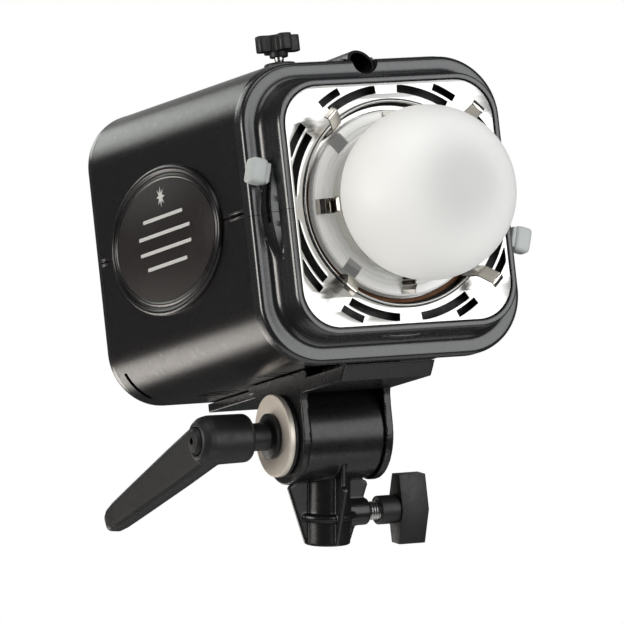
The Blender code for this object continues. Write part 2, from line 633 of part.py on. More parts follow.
def make_back():
    """The back frame, the panel with its cut-outs, and what sits in them."""
    half, middle = body_section(BODY_END)
    section = ((0, 188), (0, 191.5), (0.7, 193.8), (2.2, 195.4), (4.4, 196), (7.2, 196), (7.2, 188))
    loops = []
    for inset, y in section:
        corner = BODY_CORNER - 0.9 * inset * MM
        outline = rounded(BODY_W - inset * MM, half - inset * MM, corner, 6, (0, middle))
        loops.append(lifted(outline, y * MM))
    add("back_frame", loft(loops, closed=True), BLACK_BEZEL, LAMP)

    panel = [rounded(BODY_W - 7.6 * MM, half - 7.6 * MM, 21 * MM, 6, (0, middle))]
    panel.append(rounded(23.4 * MM, 15.4 * MM, 0.5 * MM, 3, (-16 * MM, 36 * MM)))
    panel += [rounded(6.2 * MM, 4.2 * MM, 1.2 * MM, 3, (x * MM, z * MM)) for x, z in BUTTONS]
    panel.append(circle(5.2 * MM, 20, (26 * MM, 62 * MM)))
    panel.append(circle(3.7 * MM, 16, (44 * MM, -4 * MM)))
    panel.append(rectangle(-38.2 * MM, -52.2 * MM, -9.8 * MM, -31.8 * MM))
    panel.append(rectangle(2.9 * MM, -49.9 * MM, 13.1 * MM, -34.1 * MM))
    for column in range(7):
        x = (-39 + 9 * column) * MM
        panel.append(rectangle(x, -24 * MM, x + 4 * MM, 7 * MM))
    add("back_panel", flat(panel, 2.4 * MM, "XZ", 192 * MM), BLACK_TEXTURED, LAMP)
    pane = box((-39.1 * MM, 189.5 * MM, 20.9 * MM), (7.1 * MM, 193.6 * MM, 51.1 * MM), 0.4 * MM, 1)
    add("display_window", pane, DISPLAY_WINDOW, LAMP)
    board = rounded(50 * MM, 30 * MM, 2 * MM, 3, (0, 34 * MM))
    add("control_board", flat([board], 1.6 * MM, "XZ", 177 * MM), BOARD_GREEN, LAMP)
    for name, (x, z) in zip(BUTTON_NAMES, BUTTONS):
        low = ((x - 5.8) * MM, 184 * MM, (z - 3.8) * MM)
        high = ((x + 5.8) * MM, 195.4 * MM, (z + 3.8) * MM)
        add(name, box(low, high, 1 * MM, 2), GREY_RUBBER, LAMP)
    turned("slave_sensor", [
        (0, 198 * MM), (2.6 * MM, 197.4 * MM), (4.4 * MM, 195.6 * MM), (4.9 * MM, 193 * MM),
        (4.9 * MM, 186 * MM), (0, 186 * MM),
    ], SENSOR_RED, LAMP, (26 * MM, 0, 62 * MM), steps=20)
    turned("sync_jack", [
        (1.8 * MM, 195 * MM), (3.4 * MM, 195 * MM), (3.4 * MM, 182 * MM), (0, 182 * MM),
        (0, 184 * MM), (1.8 * MM, 184 * MM),
    ], STEEL, LAMP, (44 * MM, 0, -4 * MM), steps=20)
    body = box((-37.9 * MM, 170 * MM, -51.9 * MM), (-10.1 * MM, 195 * MM, -32.1 * MM), 0.6 * MM, 1)
    inlet = add("mains_inlet", body, DARK_PLASTIC, LAMP)
    mouth = rounded(11.8 * MM, 7.9 * MM, 2.5 * MM, 3, (-24 * MM, -42 * MM))
    cut(inlet, helper("inlet_cavity", flat([mouth], 18 * MM, "XZ", 190 * MM), LAMP))
    for x, z in ((-31, -43.5), (-24, -40.5), (-17, -43.5)):
        blade = box(((x - 1) * MM, 179 * MM, (z - 2) * MM), ((x + 1) * MM, 192 * MM, (z + 2) * MM))
        join(inlet, helper("inlet_blade", blade, LAMP))
    rocker = [
        (-6.9, 190), (-6.9, 193.6), (-6.4, 196.6), (0, 194.6), (6.2, 195.3), (6.6, 193.4), (6.6, 190),
        (0, 186),
    ]
    outline = [(y * MM, (z - 42) * MM) for z, y in rocker]
    add("power_rocker", flat([outline], 9.4 * MM, "YZ", 8 * MM), DARK_PLASTIC, LAMP)


def make_badges():
    """The oval plate on each side, straddling the seam."""
    for name, side in (("side_badge_left", -1), ("side_badge_right", 1)):
        centre = (104.7 * MM, SEAM_Z)
        loops = []
        for reach, proud in ((0, 0), (0, 1.6), (-0.6, 2.2), (-2.0, 2.2), (-3.2, 1.2)):
            outline = ellipse((66.2 + reach) * MM, (37.3 + reach) * MM, 48, centre)
            loops.append([(side * (BODY_W + GAP + proud * MM), y, z) for y, z in outline])
        add(name, loft(loops), BADGE_PRINT, LAMP)


# Umbrella holder

def make_umbrella_holder():
    """The tube for an umbrella's shaft, with a boss on top for its locking screw and knob."""
    pipe = rod(6.6 * MM, 0.6 * MM, 150 * MM, "Y", (0, TUBE_Z), 24)
    boss = rod(8 * MM, 68 * MM, 88.6 * MM, "Z", (0, TUBE_BOSS_Y), 24, bevel=0.8 * MM)
    tube = add("umbrella_tube", pipe, BLACK_PAINT, LAMP)
    join(tube, helper("lock_boss", boss, LAMP))
    cut(tube, helper("shaft_bore", rod(5.1 * MM, -5 * MM, 160 * MM, "Y", (0, TUBE_Z), 24), LAMP))
    cut(tube, helper("stud_bore", rod(2.8 * MM, 76 * MM, 90 * MM, "Z", (0, TUBE_BOSS_Y), 16), LAMP))
    mouth = [(-10 * MM, 62 * MM), (-3.4 * MM, 62 * MM), (16.5 * MM, 90 * MM), (-10 * MM, 90 * MM)]
    cut(tube, helper("slanted_mouth", flat([mouth], 20 * MM, "YZ", 0), LAMP))
    knob_axis = empty("umbrella_knob_axis", (0, TUBE_BOSS_Y, 0), LAMP)
    stud = [
        (0, 101 * MM), (2.4 * MM, 101 * MM), (2.4 * MM, 92.8 * MM), (4.2 * MM, 92.8 * MM),
        (4.2 * MM, 91.4 * MM), (2.4 * MM, 91.4 * MM), (2.4 * MM, 80.6 * MM), (1.6 * MM, 79.8 * MM),
        (0, 79.8 * MM),
    ]
    turned("umbrella_stud", stud, STEEL, knob_axis, axis="Z", steps=20)
    outline = []
    for step in range(48):
        angle = math.tau * step / 48
        reach = (9.0 + 2.6 * math.tanh(2.2 * math.cos(4 * angle)) / math.tanh(2.2)) * MM
        outline.append((reach * math.cos(angle), reach * math.sin(angle)))
    knob = add("umbrella_knob", flat([outline], 8.4 * MM, "XY", 98.6 * MM), BLACK_TEXTURED, knob_axis)
    cut(knob, helper("stud_seat", rod(2.7 * MM, 90 * MM, 101.3 * MM, "Z", (0, 0), 16), knob_axis))


# Bracket and stand adapter

def make_bracket():
    """The rail under the housing with the two ears that hold the adapter's barrel."""
    top = -71.4 * MM
    bottom = TILT_Z + BARREL_R + 0.8 * MM
    rail = box((-15 * MM, 28 * MM, bottom), (15 * MM, 194 * MM, top), 0.8 * MM, 1)
    bracket = add("tilt_bracket", rail, BLACK_TEXTURED, LAMP)
    low = (-EAR_OUT, TILT_Y - 34 * MM, bottom + 0.1 * MM)
    high = (EAR_OUT, TILT_Y + 34 * MM, top - 0.1 * MM)
    join(bracket, helper("saddle", box(low, high, 1 * MM, 1), LAMP))
    nose = box((-EAR_OUT, 9 * MM, -82.6 * MM), (EAR_OUT, TILT_Y - 31 * MM, -75.3 * MM), 1 * MM, 1)
    join(bracket, helper("saddle_nose", nose, LAMP))
    centre = (TILT_Y, TILT_Z)
    under = arc(EAR_R, math.pi * 1.02, math.tau * 0.99, 17, centre)
    rear = [
        (TILT_Y + 25.6 * MM, TILT_Z + 14 * MM), (TILT_Y + 29 * MM, bottom + 1 * MM),
        (TILT_Y + 33 * MM, top - 0.3 * MM),
    ]
    front = [(2 * TILT_Y - y, z) for y, z in reversed(rear)]
    for side in (1, -1):
        ear = flat([under + rear + front], EAR_OUT - EAR_IN, "YZ", side * (EAR_OUT + EAR_IN) / 2)
        join(bracket, helper("ear", ear, LAMP))
    cut(bracket, helper("bolt_hole", rod(4.4 * MM, -40 * MM, 40 * MM, "X", centre, 24), LAMP))


def make_adapter():
    """The sleeve that stands on a light stand, with the tilt barrel on top and the lock screw's boss."""
    sleeve = rod(SLEEVE_R, 0, TILT_AXIS_Z - 8 * MM, "Z", (0, 0), 32, bevel=0.6 * MM)
    barrel = rod(BARREL_R, -BARREL_HALF, BARREL_HALF, "X", (0, TILT_AXIS_Z), 40, bevel=0.5 * MM)
    collar = rod(14.2 * MM, LOCK_Z - 2.2 * MM, LOCK_Z + 0.8 * MM, "Z", (0, 0), 32, bevel=1 * MM)
    adapter = add("stand_adapter", sleeve, BLACK_PAINT)
    join(adapter, helper("barrel", barrel), helper("collar", collar))
    half = [(12.6, 1), (22, 29), (21.4, 30.8), (19.4, 31.4), (19.4, 44)]
    web = [(u * MM, v * MM) for u, v in half] + [(-u * MM, v * MM) for u, v in reversed(half)]
    join(adapter, helper("side_webs", flat([web], 3 * MM, "XZ", 0)))
    join(adapter, helper("front_webs", flat([web], 2.6 * MM, "YZ", 0)))
    boss = rod(7 * MM, 4 * MM, 21.6 * MM, "X", (0, LOCK_Z), 24, bevel=1.2 * MM)
    join(adapter, helper("lock_boss", boss))
    cut(adapter, helper("socket", rod(SOCKET_R, -5 * MM, SOCKET_DEPTH, "Z", (0, 0), 32)))
    cut(adapter, helper("lock_thread", rod(5.1 * MM, 0, 30 * MM, "X", (0, LOCK_Z), 24)))
    cut(adapter, helper("bolt_bore", rod(4.4 * MM, -40 * MM, 40 * MM, "X", (0, TILT_AXIS_Z), 24)))

    turned("lock_stud", [
        (0, 8.6 * MM), (3.6 * MM, 8.6 * MM), (4.75 * MM, 9.8 * MM), (4.75 * MM, 40 * MM), (0, 40 * MM),
    ], STEEL, LOCK, axis="X", steps=24)
    outline = [(4.1, 17.6), (-4.1, 17.6), (-8.6, 0), (-4.1, -17.6), (4.1, -17.6), (8.6, 0)]
    outline = [(u * MM, v * MM) for u, v in outline]
    knob = add("lock_knob", flat([outline], 15 * MM, "YZ", 45.5 * MM), BLACK_TEXTURED, LOCK)
    join(knob, helper("knob_hub", rod(7.4 * MM, 27.6 * MM, 39 * MM, "X", (0, 0), 24, bevel=0.5 * MM), LOCK))
    cut(knob, helper("knob_seat", rod(5.05 * MM, 20 * MM, 40.3 * MM, "X", (0, 0), 24), LOCK))


def make_pivot():
    """The bolt through ears and barrel, its washers, and the ratchet lever that clamps them."""
    turned("pivot_bolt", [
        (0, -44.2 * MM), (4 * MM, -44.2 * MM), (4 * MM, 25.2 * MM), (9.5 * MM, 25.2 * MM),
        (9.5 * MM, 29.6 * MM), (8.4 * MM, 30.8 * MM), (0, 30.8 * MM),
    ], STEEL, LEVER, axis="X", steps=24)
    turned("friction_washer", [
        (4.4 * MM, -25.2 * MM), (20.4 * MM, -25.2 * MM), (20.4 * MM, -27 * MM), (4.4 * MM, -27 * MM),
    ], DARK_PLASTIC, LEVER, axis="X")
    turned("pivot_washer", [
        (4.4 * MM, -27.3 * MM), (20.3 * MM, -27.3 * MM), (20.8 * MM, -27.8 * MM), (20.8 * MM, -30 * MM),
        (20.3 * MM, -30.5 * MM), (4.4 * MM, -30.5 * MM),
    ], NICKEL, LEVER, axis="X")
    turned("lever_insert", [
        (4.3 * MM, -30.8 * MM), (11.4 * MM, -30.8 * MM), (11.4 * MM, -33.2 * MM), (7 * MM, -34.2 * MM),
        (7 * MM, -46 * MM), (6.2 * MM, -46.6 * MM), (6.2 * MM, -60 * MM), (3.3 * MM, -60 * MM),
        (3.3 * MM, -52 * MM), (0, -52 * MM), (0, -48 * MM), (4.3 * MM, -48 * MM),
    ], BLACK_TEXTURED, LEVER, axis="X", steps=24)
    turned("lever_screw", [
        (0, -55 * MM), (3 * MM, -55 * MM), (3 * MM, -71.6 * MM), (6.8 * MM, -71.6 * MM),
        (6.8 * MM, -73 * MM), (5.6 * MM, -74.8 * MM), (0, -75.4 * MM),
    ], BLACK_TEXTURED, LEVER, axis="X", steps=20)
    handle = turned("lever_handle", [
        (0, -44.6 * MM), (11 * MM, -44.6 * MM), (12.2 * MM, -46.4 * MM), (12.5 * MM, -66 * MM),
        (11.6 * MM, -70 * MM), (9.2 * MM, -73 * MM), (0, -73 * MM),
    ], BLACK_TEXTURED, LEVER, axis="X", steps=28)
    join(handle, helper("lever_arm", lever_arm(), LEVER))
    bores = (
        ("screw_recess", 7.3, -90, -66), ("screw_way", 3.5, -70, -50), ("spline_bore", 6.6, -61, -46),
        ("neck_bore", 7.5, -47, -40),
    )
    for name, radius, far, near in bores:
        cut(handle, helper(name, rod(radius * MM, far * MM, near * MM, "X", (0, 0), 24), LEVER))


def lever_arm():
    """A tapering rounded bar from the hub to its tip, leaning outwards."""
    root, tip = Vector((-64.5, 1.5, -1)) * MM, Vector((-83, 75.5, -49.2)) * MM
    along = (tip - root).normalized()
    across = along.cross(Vector((1, 0, 0))).normalized()
    thick = across.cross(along).normalized()
    loops = []
    stations = (
        (0, 12.2, 5.2), (0.3, 11.0, 5.0), (0.7, 8.8, 4.7), (0.93, 7.4, 4.6), (1.0, 6.4, 4.2), (1.04, 4.6, 3.2),
        (1.06, 2.2, 1.8),
    )
    for share, wide, deep in stations:
        middle = root.lerp(tip, share)
        outline = rounded(wide * MM, deep * MM, min(wide, deep) * 0.72 * MM, 4)
        loops.append([middle + across * u + thick * v for u, v in outline])
    return loft(loops)


make_housing()
make_bezel()
make_reflector()
make_glass()
make_claws()
make_lock_ring()
make_clips()
make_electronics()
make_back()
make_badges()
make_umbrella_holder()
make_bracket()
make_adapter()
make_pivot()
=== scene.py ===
"""The monolight strobe's looks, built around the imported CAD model.

Head pieces are modelled in the lamp frame, in millimetres: x across, y towards the back, z up, with the
origin on the lamp's axis in the plane of the front flange. The frame is found from the cam ring's joint.
Adapter and lever pieces are modelled in the row frame, in millimetres from the tilt axis or the socket.
"""

import json
from math import asin, cos, pi, radians, sin, sqrt, tanh, tau

import bmesh
import bpy
from mathutils import Matrix, Vector


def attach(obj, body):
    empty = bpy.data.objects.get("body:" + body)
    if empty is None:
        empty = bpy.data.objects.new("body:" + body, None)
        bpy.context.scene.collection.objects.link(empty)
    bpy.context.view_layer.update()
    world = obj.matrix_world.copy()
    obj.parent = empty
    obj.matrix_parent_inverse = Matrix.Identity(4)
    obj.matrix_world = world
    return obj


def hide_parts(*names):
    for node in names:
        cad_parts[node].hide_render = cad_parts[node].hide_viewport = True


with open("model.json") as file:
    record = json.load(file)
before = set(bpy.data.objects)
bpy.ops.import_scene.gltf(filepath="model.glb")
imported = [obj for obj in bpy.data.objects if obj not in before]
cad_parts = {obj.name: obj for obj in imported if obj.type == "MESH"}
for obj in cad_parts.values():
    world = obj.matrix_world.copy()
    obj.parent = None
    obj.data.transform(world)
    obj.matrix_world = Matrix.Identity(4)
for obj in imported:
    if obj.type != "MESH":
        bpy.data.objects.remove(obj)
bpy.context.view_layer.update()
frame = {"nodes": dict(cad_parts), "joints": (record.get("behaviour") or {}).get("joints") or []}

MM = 0.001
NODES = frame["nodes"]
JOINTS = {joint["name"]: joint for joint in frame["joints"]}

# Frames
RING_Y = -7.8  # the cam ring's middle, in front of the flange plane
ACROSS = Vector((1, 0, 0))
REARWARD = -Vector(JOINTS["cam_ring_turn"]["axis"]).normalized()
UPWARD = ACROSS.cross(REARWARD)
TILT_AXIS = Vector(JOINTS["head_tilt"]["pos_m"])

# Matrices from millimetres in a frame to the row frame
SOCKET = Matrix.Scale(MM, 4)
PIVOT = Matrix.Translation(TILT_AXIS) @ SOCKET
FLANGE = Vector(JOINTS["cam_ring_turn"]["pos_m"]) - REARWARD * RING_Y * MM
LAMP = Matrix.Translation(FLANGE) @ Matrix((ACROSS, REARWARD, UPWARD)).transposed().to_4x4() @ SOCKET
STAND_LOCK = Matrix.Translation(Vector(JOINTS["stand_lock_turn"]["pos_m"]) * Vector((0, 1, 1))) @ SOCKET


def span(node, place=LAMP):
    """Lowest and highest corners of a CAD node in a frame, in its millimetres."""
    back = place.inverted()
    points = [back @ vert.co for vert in NODES[node].data.vertices]
    low = Vector(min(p[i] for p in points) for i in range(3))
    high = Vector(max(p[i] for p in points) for i in range(3))
    return low, high


# Driving sizes, in millimetres, read from the CAD model
BEZEL_LOW, BEZEL_HIGH = span("front_bezel_lower")[0], span("front_bezel_upper")[1]
FLANGE_W, FLANGE_H, FLANGE_BACK = BEZEL_HIGH.x, -BEZEL_LOW.z, BEZEL_HIGH.y
BODY_LOW, BODY_HIGH = span("lower_housing")[0], span("upper_housing")[1]
BODY_W, BODY_FRONT, BODY_BACK = BODY_HIGH.x, BODY_LOW.y, BODY_HIGH.y
FRAME_BACK = span("back_frame")[1].y
PLATE_LOW, PLATE_HIGH = span("reflector_plate")
PLATE_W, PLATE_H, PLATE_FRONT, PLATE_BACK = PLATE_HIGH.x, PLATE_HIGH.z, PLATE_LOW.y, PLATE_HIGH.y
DOME_LOW, DOME_HIGH = span("glass_dome")
DOME_R = DOME_HIGH.x
DOME_Y = DOME_LOW.y + DOME_R
TUBE_AT = (0, 0, 74.2)  # the umbrella tube's axis
BOSS_AT = (0, 97, 0)  # the axis of its lock's boss
SEAM_Z = 3.2
SIDES = (("left", -1), ("right", 1))
NECK_R, GLASS = 36, 2.4
CLAW_ANGLES = {
    "claw_upper_right": 47, "claw_upper_left": 133, "claw_lower_left": 227, "claw_lower_right": 313,
}


# Materials

def shader_material(name, color, roughness, metallic=0, **values):
    """A material and its shader; further values are inputs by name, with underscores for spaces."""
    made = bpy.data.materials.new(name)
    made.use_nodes = True
    shader = made.node_tree.nodes["Principled BSDF"]
    preset(shader, {"Base Color": (*color, 1), "Roughness": roughness, "Metallic": metallic})
    preset(shader, {key.replace("_", " "): value for key, value in values.items()})
    return made, shader


def preset(made, values):
    """Gives a node's inputs their values, by name."""
    for key, value in values.items():
        made.inputs[key].default_value = value


def node(mat, kind, values=None, **settings):
    made = mat.node_tree.nodes.new("ShaderNode" + kind)
    for key, value in settings.items():
        setattr(made, key, value)
    preset(made, values or {})
    return made


def link(mat, output, target):
    mat.node_tree.links.new(output, target)


def noise(mat, scale, detail=3, stretch=None):
    """Noise over the piece; scale is in features per metre."""
    texture = node(mat, "TexNoise", {"Scale": scale, "Detail": detail})
    source = node(mat, "TexCoord").outputs["Object"]
    if stretch:
        mapping = node(mat, "Mapping", {"Scale": stretch})
        link(mat, source, mapping.inputs["Vector"])
        source = mapping.outputs["Vector"]
    link(mat, source, texture.inputs["Vector"])
    return texture.outputs["Fac"]


def ranged(mat, value, start, end, low=0, high=1, **settings):
    """A value between start and end mapped to the range from low to high."""
    limits = {"From Min": start, "From Max": end, "To Min": low, "To Max": high}
    mapped = node(mat, "MapRange", limits, **settings)
    link(mat, value, mapped.inputs["Value"])
    return mapped.outputs["Result"]


def vary_rough(mat, shader, value, low, high):
    """Roughness that follows a noise, whose values lie mostly between 0.3 and 0.7."""
    link(mat, ranged(mat, value, 0.3, 0.7, low, high), shader.inputs["Roughness"])


def bump(mat, shader, height, strength, distance):
    made = node(mat, "Bump", {"Strength": strength, "Distance": distance})
    link(mat, height, made.inputs["Height"])
    link(mat, made.outputs["Normal"], shader.inputs["Normal"])


def vary_color(mat, shader, value, first, second):
    mix = node(mat, "Mix", {"A": (*first, 1), "B": (*second, 1)}, data_type="RGBA")
    link(mat, value, mix.inputs["Factor"])
    link(mat, mix.outputs["Result"], shader.inputs["Base Color"])


def surface(name, colors, rough, metallic=0, patch=60, grain=1500, relief=0.00003, strength=0.25, **values):
    """A material with a slow change of tone and roughness and a fine grain."""
    mat, shader = shader_material(name, colors[0], rough[0], metallic, Coat_Roughness=0.2, **values)
    vary_color(mat, shader, noise(mat, patch), *colors)
    vary_rough(mat, shader, noise(mat, patch * 6, 4), *rough)
    bump(mat, shader, noise(mat, grain, 2), strength, relief)
    return mat


def brushed(name, colors, rough, metallic=1, stretch=(1, 1, 40)):
    """Metal with fine lines left by a brush or a lathe."""
    mat, shader = shader_material(name, colors[0], rough[0], metallic)
    lines = noise(mat, 90, 5, stretch)
    vary_color(mat, shader, noise(mat, 50), *colors)
    vary_rough(mat, shader, lines, *rough)
    bump(mat, shader, lines, 0.06, 0.00003)
    return mat


# colour of a painted glow, given by emission to the frosted glass and the inner floor, which are no lamps
PAINTED_GLOW_COLOR = (1, 0.99, 0.96, 1)
PAINT = surface("satin_paint", ((0.008, 0.0072, 0.0078), (0.011, 0.0098, 0.0102)), (0.27, 0.33),
                grain=1100, relief=0.00002, strength=0.1)
BEZEL = surface("bezel_moulding", ((0.014, 0.0145, 0.016), (0.018, 0.018, 0.02)), (0.23, 0.28), grain=1700,
                relief=0.00002, strength=0.12, Specular_IOR_Level=0.95)
TEXTURED = surface("textured_moulding", ((0.01, 0.01, 0.011), (0.016, 0.016, 0.017)), (0.42, 0.55),
                   grain=1300, relief=0.00006, strength=0.5)
CAST = surface("cast_black", ((0.008, 0.008, 0.009), (0.013, 0.0125, 0.013)), (0.25, 0.34), grain=700,
               relief=0.00004, strength=0.18)
CAP = surface("grey_cap", ((0.56, 0.6, 0.58), (0.64, 0.67, 0.65)), (0.42, 0.55), grain=1500, strength=0.2)
SHEET = surface("bright_sheet", ((0.5, 0.495, 0.48), (0.54, 0.535, 0.52)), (0.2, 0.26), 1,
                grain=500, relief=0.00001, strength=0.06)
NICKEL = brushed("spring_nickel", ((0.56, 0.53, 0.48), (0.7, 0.67, 0.61)), (0.16, 0.3))
WASHER = brushed("satin_nickel", ((0.88, 0.79, 0.68), (0.94, 0.87, 0.77)), (0.38, 0.5), 0.4, (60, 1, 1))
STEEL = brushed("plain_steel", ((0.5, 0.5, 0.5), (0.62, 0.61, 0.6)), (0.22, 0.36))
# the inner reflector's white floor, with a faint painted glow from emission
WHITE_FLOOR_PAINTED_GLOW = surface("white_floor_painted_glow", ((0.93, 0.925, 0.9), (0.96, 0.955, 0.94)), (0.25, 0.34), 0.05,
                      grain=500, relief=0.00001, strength=0.06, Emission_Color=PAINTED_GLOW_COLOR,
                      Emission_Strength=0.12)
CLIP = brushed("clip_steel", ((0.22, 0.205, 0.19), (0.32, 0.3, 0.27)), (0.14, 0.24))
DARK = surface("dark_plastic", ((0.02, 0.02, 0.021), (0.03, 0.03, 0.032)), (0.4, 0.5))
# painted shade: near-black, for the web seen through the plate's slots
PAINTED_SHADE_DARK = surface("painted_shade_inside", ((0.006, 0.005, 0.005), (0.012, 0.01, 0.009)), (0.45, 0.6))
BADGE = surface("badge_print", ((0.01, 0.006, 0.006), (0.014, 0.009, 0.0085)), (0.34, 0.42), grain=2500,
                strength=0.08)
BADGE_INK = surface("badge_ink", ((0.74, 0.74, 0.72), (0.8, 0.8, 0.78)), (0.35, 0.45))
CERAMIC = surface("ceramic", ((0.8, 0.78, 0.73), (0.86, 0.84, 0.8)), (0.5, 0.65), grain=900)
BOARD = surface("circuit_board", ((0.015, 0.12, 0.05), (0.02, 0.17, 0.07)), (0.35, 0.5), patch=400)
SLEEVE = surface("shrink_sleeve", ((0.02, 0.035, 0.12), (0.03, 0.05, 0.16)), (0.25, 0.35))
ALUMINIUM = brushed("plain_aluminium", ((0.66, 0.67, 0.68), (0.74, 0.75, 0.76)), (0.3, 0.45))
WINDING = brushed("winding", ((0.42, 0.18, 0.07), (0.55, 0.26, 0.11)), (0.3, 0.4), stretch=(1, 60, 1))
WINDOW = surface("smoked_window", ((0.01, 0.016, 0.022), (0.014, 0.022, 0.03)), (0.06, 0.12),
                 Coat_Weight=0.5)
SENSOR = surface("sensor_lens", ((0.22, 0.01, 0.015), (0.3, 0.015, 0.02)), (0.08, 0.14), Coat_Weight=0.6)
SCREEN = surface("screen_glow", ((0.05, 0.16, 0.22), (0.07, 0.2, 0.27)), (0.3, 0.4))


def lamp_position(mat, weights):
    """A point's place in the lamp frame, in millimetres, with each axis times its weight."""
    back = LAMP.inverted()
    placing = {"Scale": [back.to_scale().x] * 3, "Rotation": back.to_euler(), "Location": back.translation}
    mapping = node(mat, "Mapping", placing)
    link(mat, node(mat, "TexCoord").outputs["Object"], mapping.inputs["Vector"])
    weighted = node(mat, "VectorMath", {1: weights}, operation="MULTIPLY")
    link(mat, mapping.outputs["Vector"], weighted.inputs[0])
    return weighted.outputs["Vector"]


def frosted_glass():
    """Opal glass: a little greyer at its tip, which is painted shade, and with a faint painted glow from its
    emission.
    """
    # painted glow: the emission lights the glass, which is no lamp
    mat, shader = shader_material(
        "frosted_glass", (0.92, 0.92, 0.905), 0.5, Transmission_Weight=0.06, Sheen_Weight=0.5,
        Sheen_Roughness=0.5, Emission_Color=PAINTED_GLOW_COLOR, Emission_Strength=0.2,
    )
    length = node(mat, "VectorMath", operation="LENGTH")
    link(mat, lamp_position(mat, (1, 0, 1)), length.inputs[0])
    # painted shade: grey near the lamp's axis, white towards the globe's edge
    share = ranged(mat, length.outputs["Value"], 4, 34, interpolation_type="SMOOTHSTEP")
    vary_color(mat, shader, share, (0.56, 0.56, 0.55), (0.94, 0.94, 0.92))
    vary_rough(mat, shader, noise(mat, 180, 4), 0.45, 0.55)
    bump(mat, shader, noise(mat, 2600, 2), 0.12, 0.00002)
    return mat


def copper_with_painted_highlight():
    """Metal tinted a dark copper, with a painted highlight that makes it paler towards the top."""
    mat, shader = shader_material("copper_painted_highlight", (0.05, 0.025, 0.01), 0.3, 0.9)
    height = node(mat, "SeparateXYZ")
    link(mat, lamp_position(mat, (0, 0, 1)), height.inputs["Vector"])
    # painted highlight: the ring turns from dark copper to pale towards the top
    share = ranged(mat, height.outputs["Z"], 8, 38, interpolation_type="SMOOTHSTEP")
    vary_color(mat, shader, share, (0.045, 0.02, 0.009), (0.8, 0.78, 0.75))
    vary_rough(mat, shader, noise(mat, 300, 4), 0.25, 0.4)
    bump(mat, shader, noise(mat, 1500, 2), 0.1, 0.00002)
    return mat


def clear_glass():
    mat, shader = shader_material("clear_glass", (0.97, 0.985, 0.98), 0.02, Transmission_Weight=1, IOR=1.46)
    vary_rough(mat, shader, noise(mat, 120), 0.02, 0.05)
    bump(mat, shader, noise(mat, 70, 2), 0.05, 0.0002)
    return mat


FROSTED = frosted_glass()
COPPER_PAINTED_HIGHLIGHT = copper_with_painted_highlight()
CLEAR = clear_glass()


# Building blocks: meshes in millimetres in a frame, placed in the row frame

def mesh_of(bm, recalc=True):
    if recalc:
        bmesh.ops.recalc_face_normals(bm, faces=bm.faces)
    mesh = bpy.data.meshes.new("mesh")
    bm.to_mesh(mesh)
    bm.free()
    return mesh


def placed(name, data):
    """A new object in the scene."""
    made = bpy.data.objects.new(name, data)
    bpy.context.scene.collection.objects.link(made)
    return made


def put(name, mesh, mat, stands_for=None, body="head", place=LAMP, angle=35):
    """Makes a piece from a mesh in a frame; it rides on a body and may stand for a CAD node."""
    mesh.transform(place)
    mesh.name = name
    mesh.materials.append(mat)
    mesh.shade_smooth()
    mesh.set_sharp_from_angle(angle=radians(angle))
    made = placed(name, mesh)
    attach(made, body)
    if stands_for:
        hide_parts(stands_for)


def evaluated(obj):
    """The mesh that an object makes with its modifiers or its bevel; the object itself goes."""
    bpy.context.view_layer.update()
    graph = bpy.context.evaluated_depsgraph_get()
    mesh = bpy.data.meshes.new_from_object(obj.evaluated_get(graph))
    bpy.data.objects.remove(obj)
    return mesh


def combine(base, joined=(), cut=(), kept=()):
    """A mesh with others joined to it, then others cut away, then only what lies in the kept ones."""
    target = placed("operand", base)
    operands = []
    for operation, meshes in (("UNION", joined), ("DIFFERENCE", cut), ("INTERSECT", kept)):
        for mesh in meshes:
            modifier = target.modifiers.new(operation, "BOOLEAN")
            modifier.operation = operation
            modifier.solver = "EXACT"
            modifier.object = placed("operand", mesh)
            operands.append(modifier.object)
    result = evaluated(target)
    for operand in operands:
        bpy.data.objects.remove(operand)
    for mesh in [base, *joined, *cut, *kept]:
        bpy.data.meshes.remove(mesh)
    return result


def softened(mesh, voxel=0.5):
    """A cast or moulded form: remeshed, and smoothed so that its edges and inner corners round off."""
    target = placed("operand", mesh)
    remesh = target.modifiers.new("remesh", "REMESH")
    remesh.mode = "VOXEL"
    remesh.voxel_size = voxel
    remesh.adaptivity = 0
    smooth = target.modifiers.new("smooth", "SMOOTH")
    smooth.factor = 0.5
    smooth.iterations = 5
    return evaluated(target)


def box(low, high, bevel=0, segments=3):
    low, high = Vector(low), Vector(high)
    bm = bmesh.new()
    bmesh.ops.create_cube(bm, size=1)
    bmesh.ops.scale(bm, vec=high - low, verts=bm.verts)
    bmesh.ops.translate(bm, vec=(low + high) / 2, verts=bm.verts)
    if bevel:
        bmesh.ops.bevel(bm, geom=bm.edges, offset=bevel, segments=segments, affect="EDGES", profile=0.5)
    return mesh_of(bm)


TURNS = {
    "X": Matrix.Rotation(radians(90), 4, "Y"),
    "Y": Matrix.Rotation(radians(-90), 4, "X"),
    "Z": Matrix.Identity(4),
}


def lathe(profile, axis="Y", at=(0, 0, 0), steps=64):
    """A turned mesh; profile points are (radius, distance along the axis) and close on themselves."""
    bm = bmesh.new()
    rings = []
    for radius, along in profile:
        if radius < 1e-6:
            rings.append([bm.verts.new((0, 0, along))])
            continue
        angles = (tau * i / steps for i in range(steps))
        rings.append([bm.verts.new((radius * cos(a), radius * sin(a), along)) for a in angles])
    for first, second in zip(rings, rings[1:] + rings[:1]):
        for i in range(steps):
            j = (i + 1) % steps
            corners = [ring[k % len(ring)] for ring, k in ((first, i), (first, j), (second, j), (second, i))]
            face = list(dict.fromkeys(corners))
            if len(face) > 2:
                bm.faces.new(face)
    bmesh.ops.transform(bm, matrix=Matrix.Translation(at) @ TURNS[axis], verts=bm.verts)
    return mesh_of(bm)


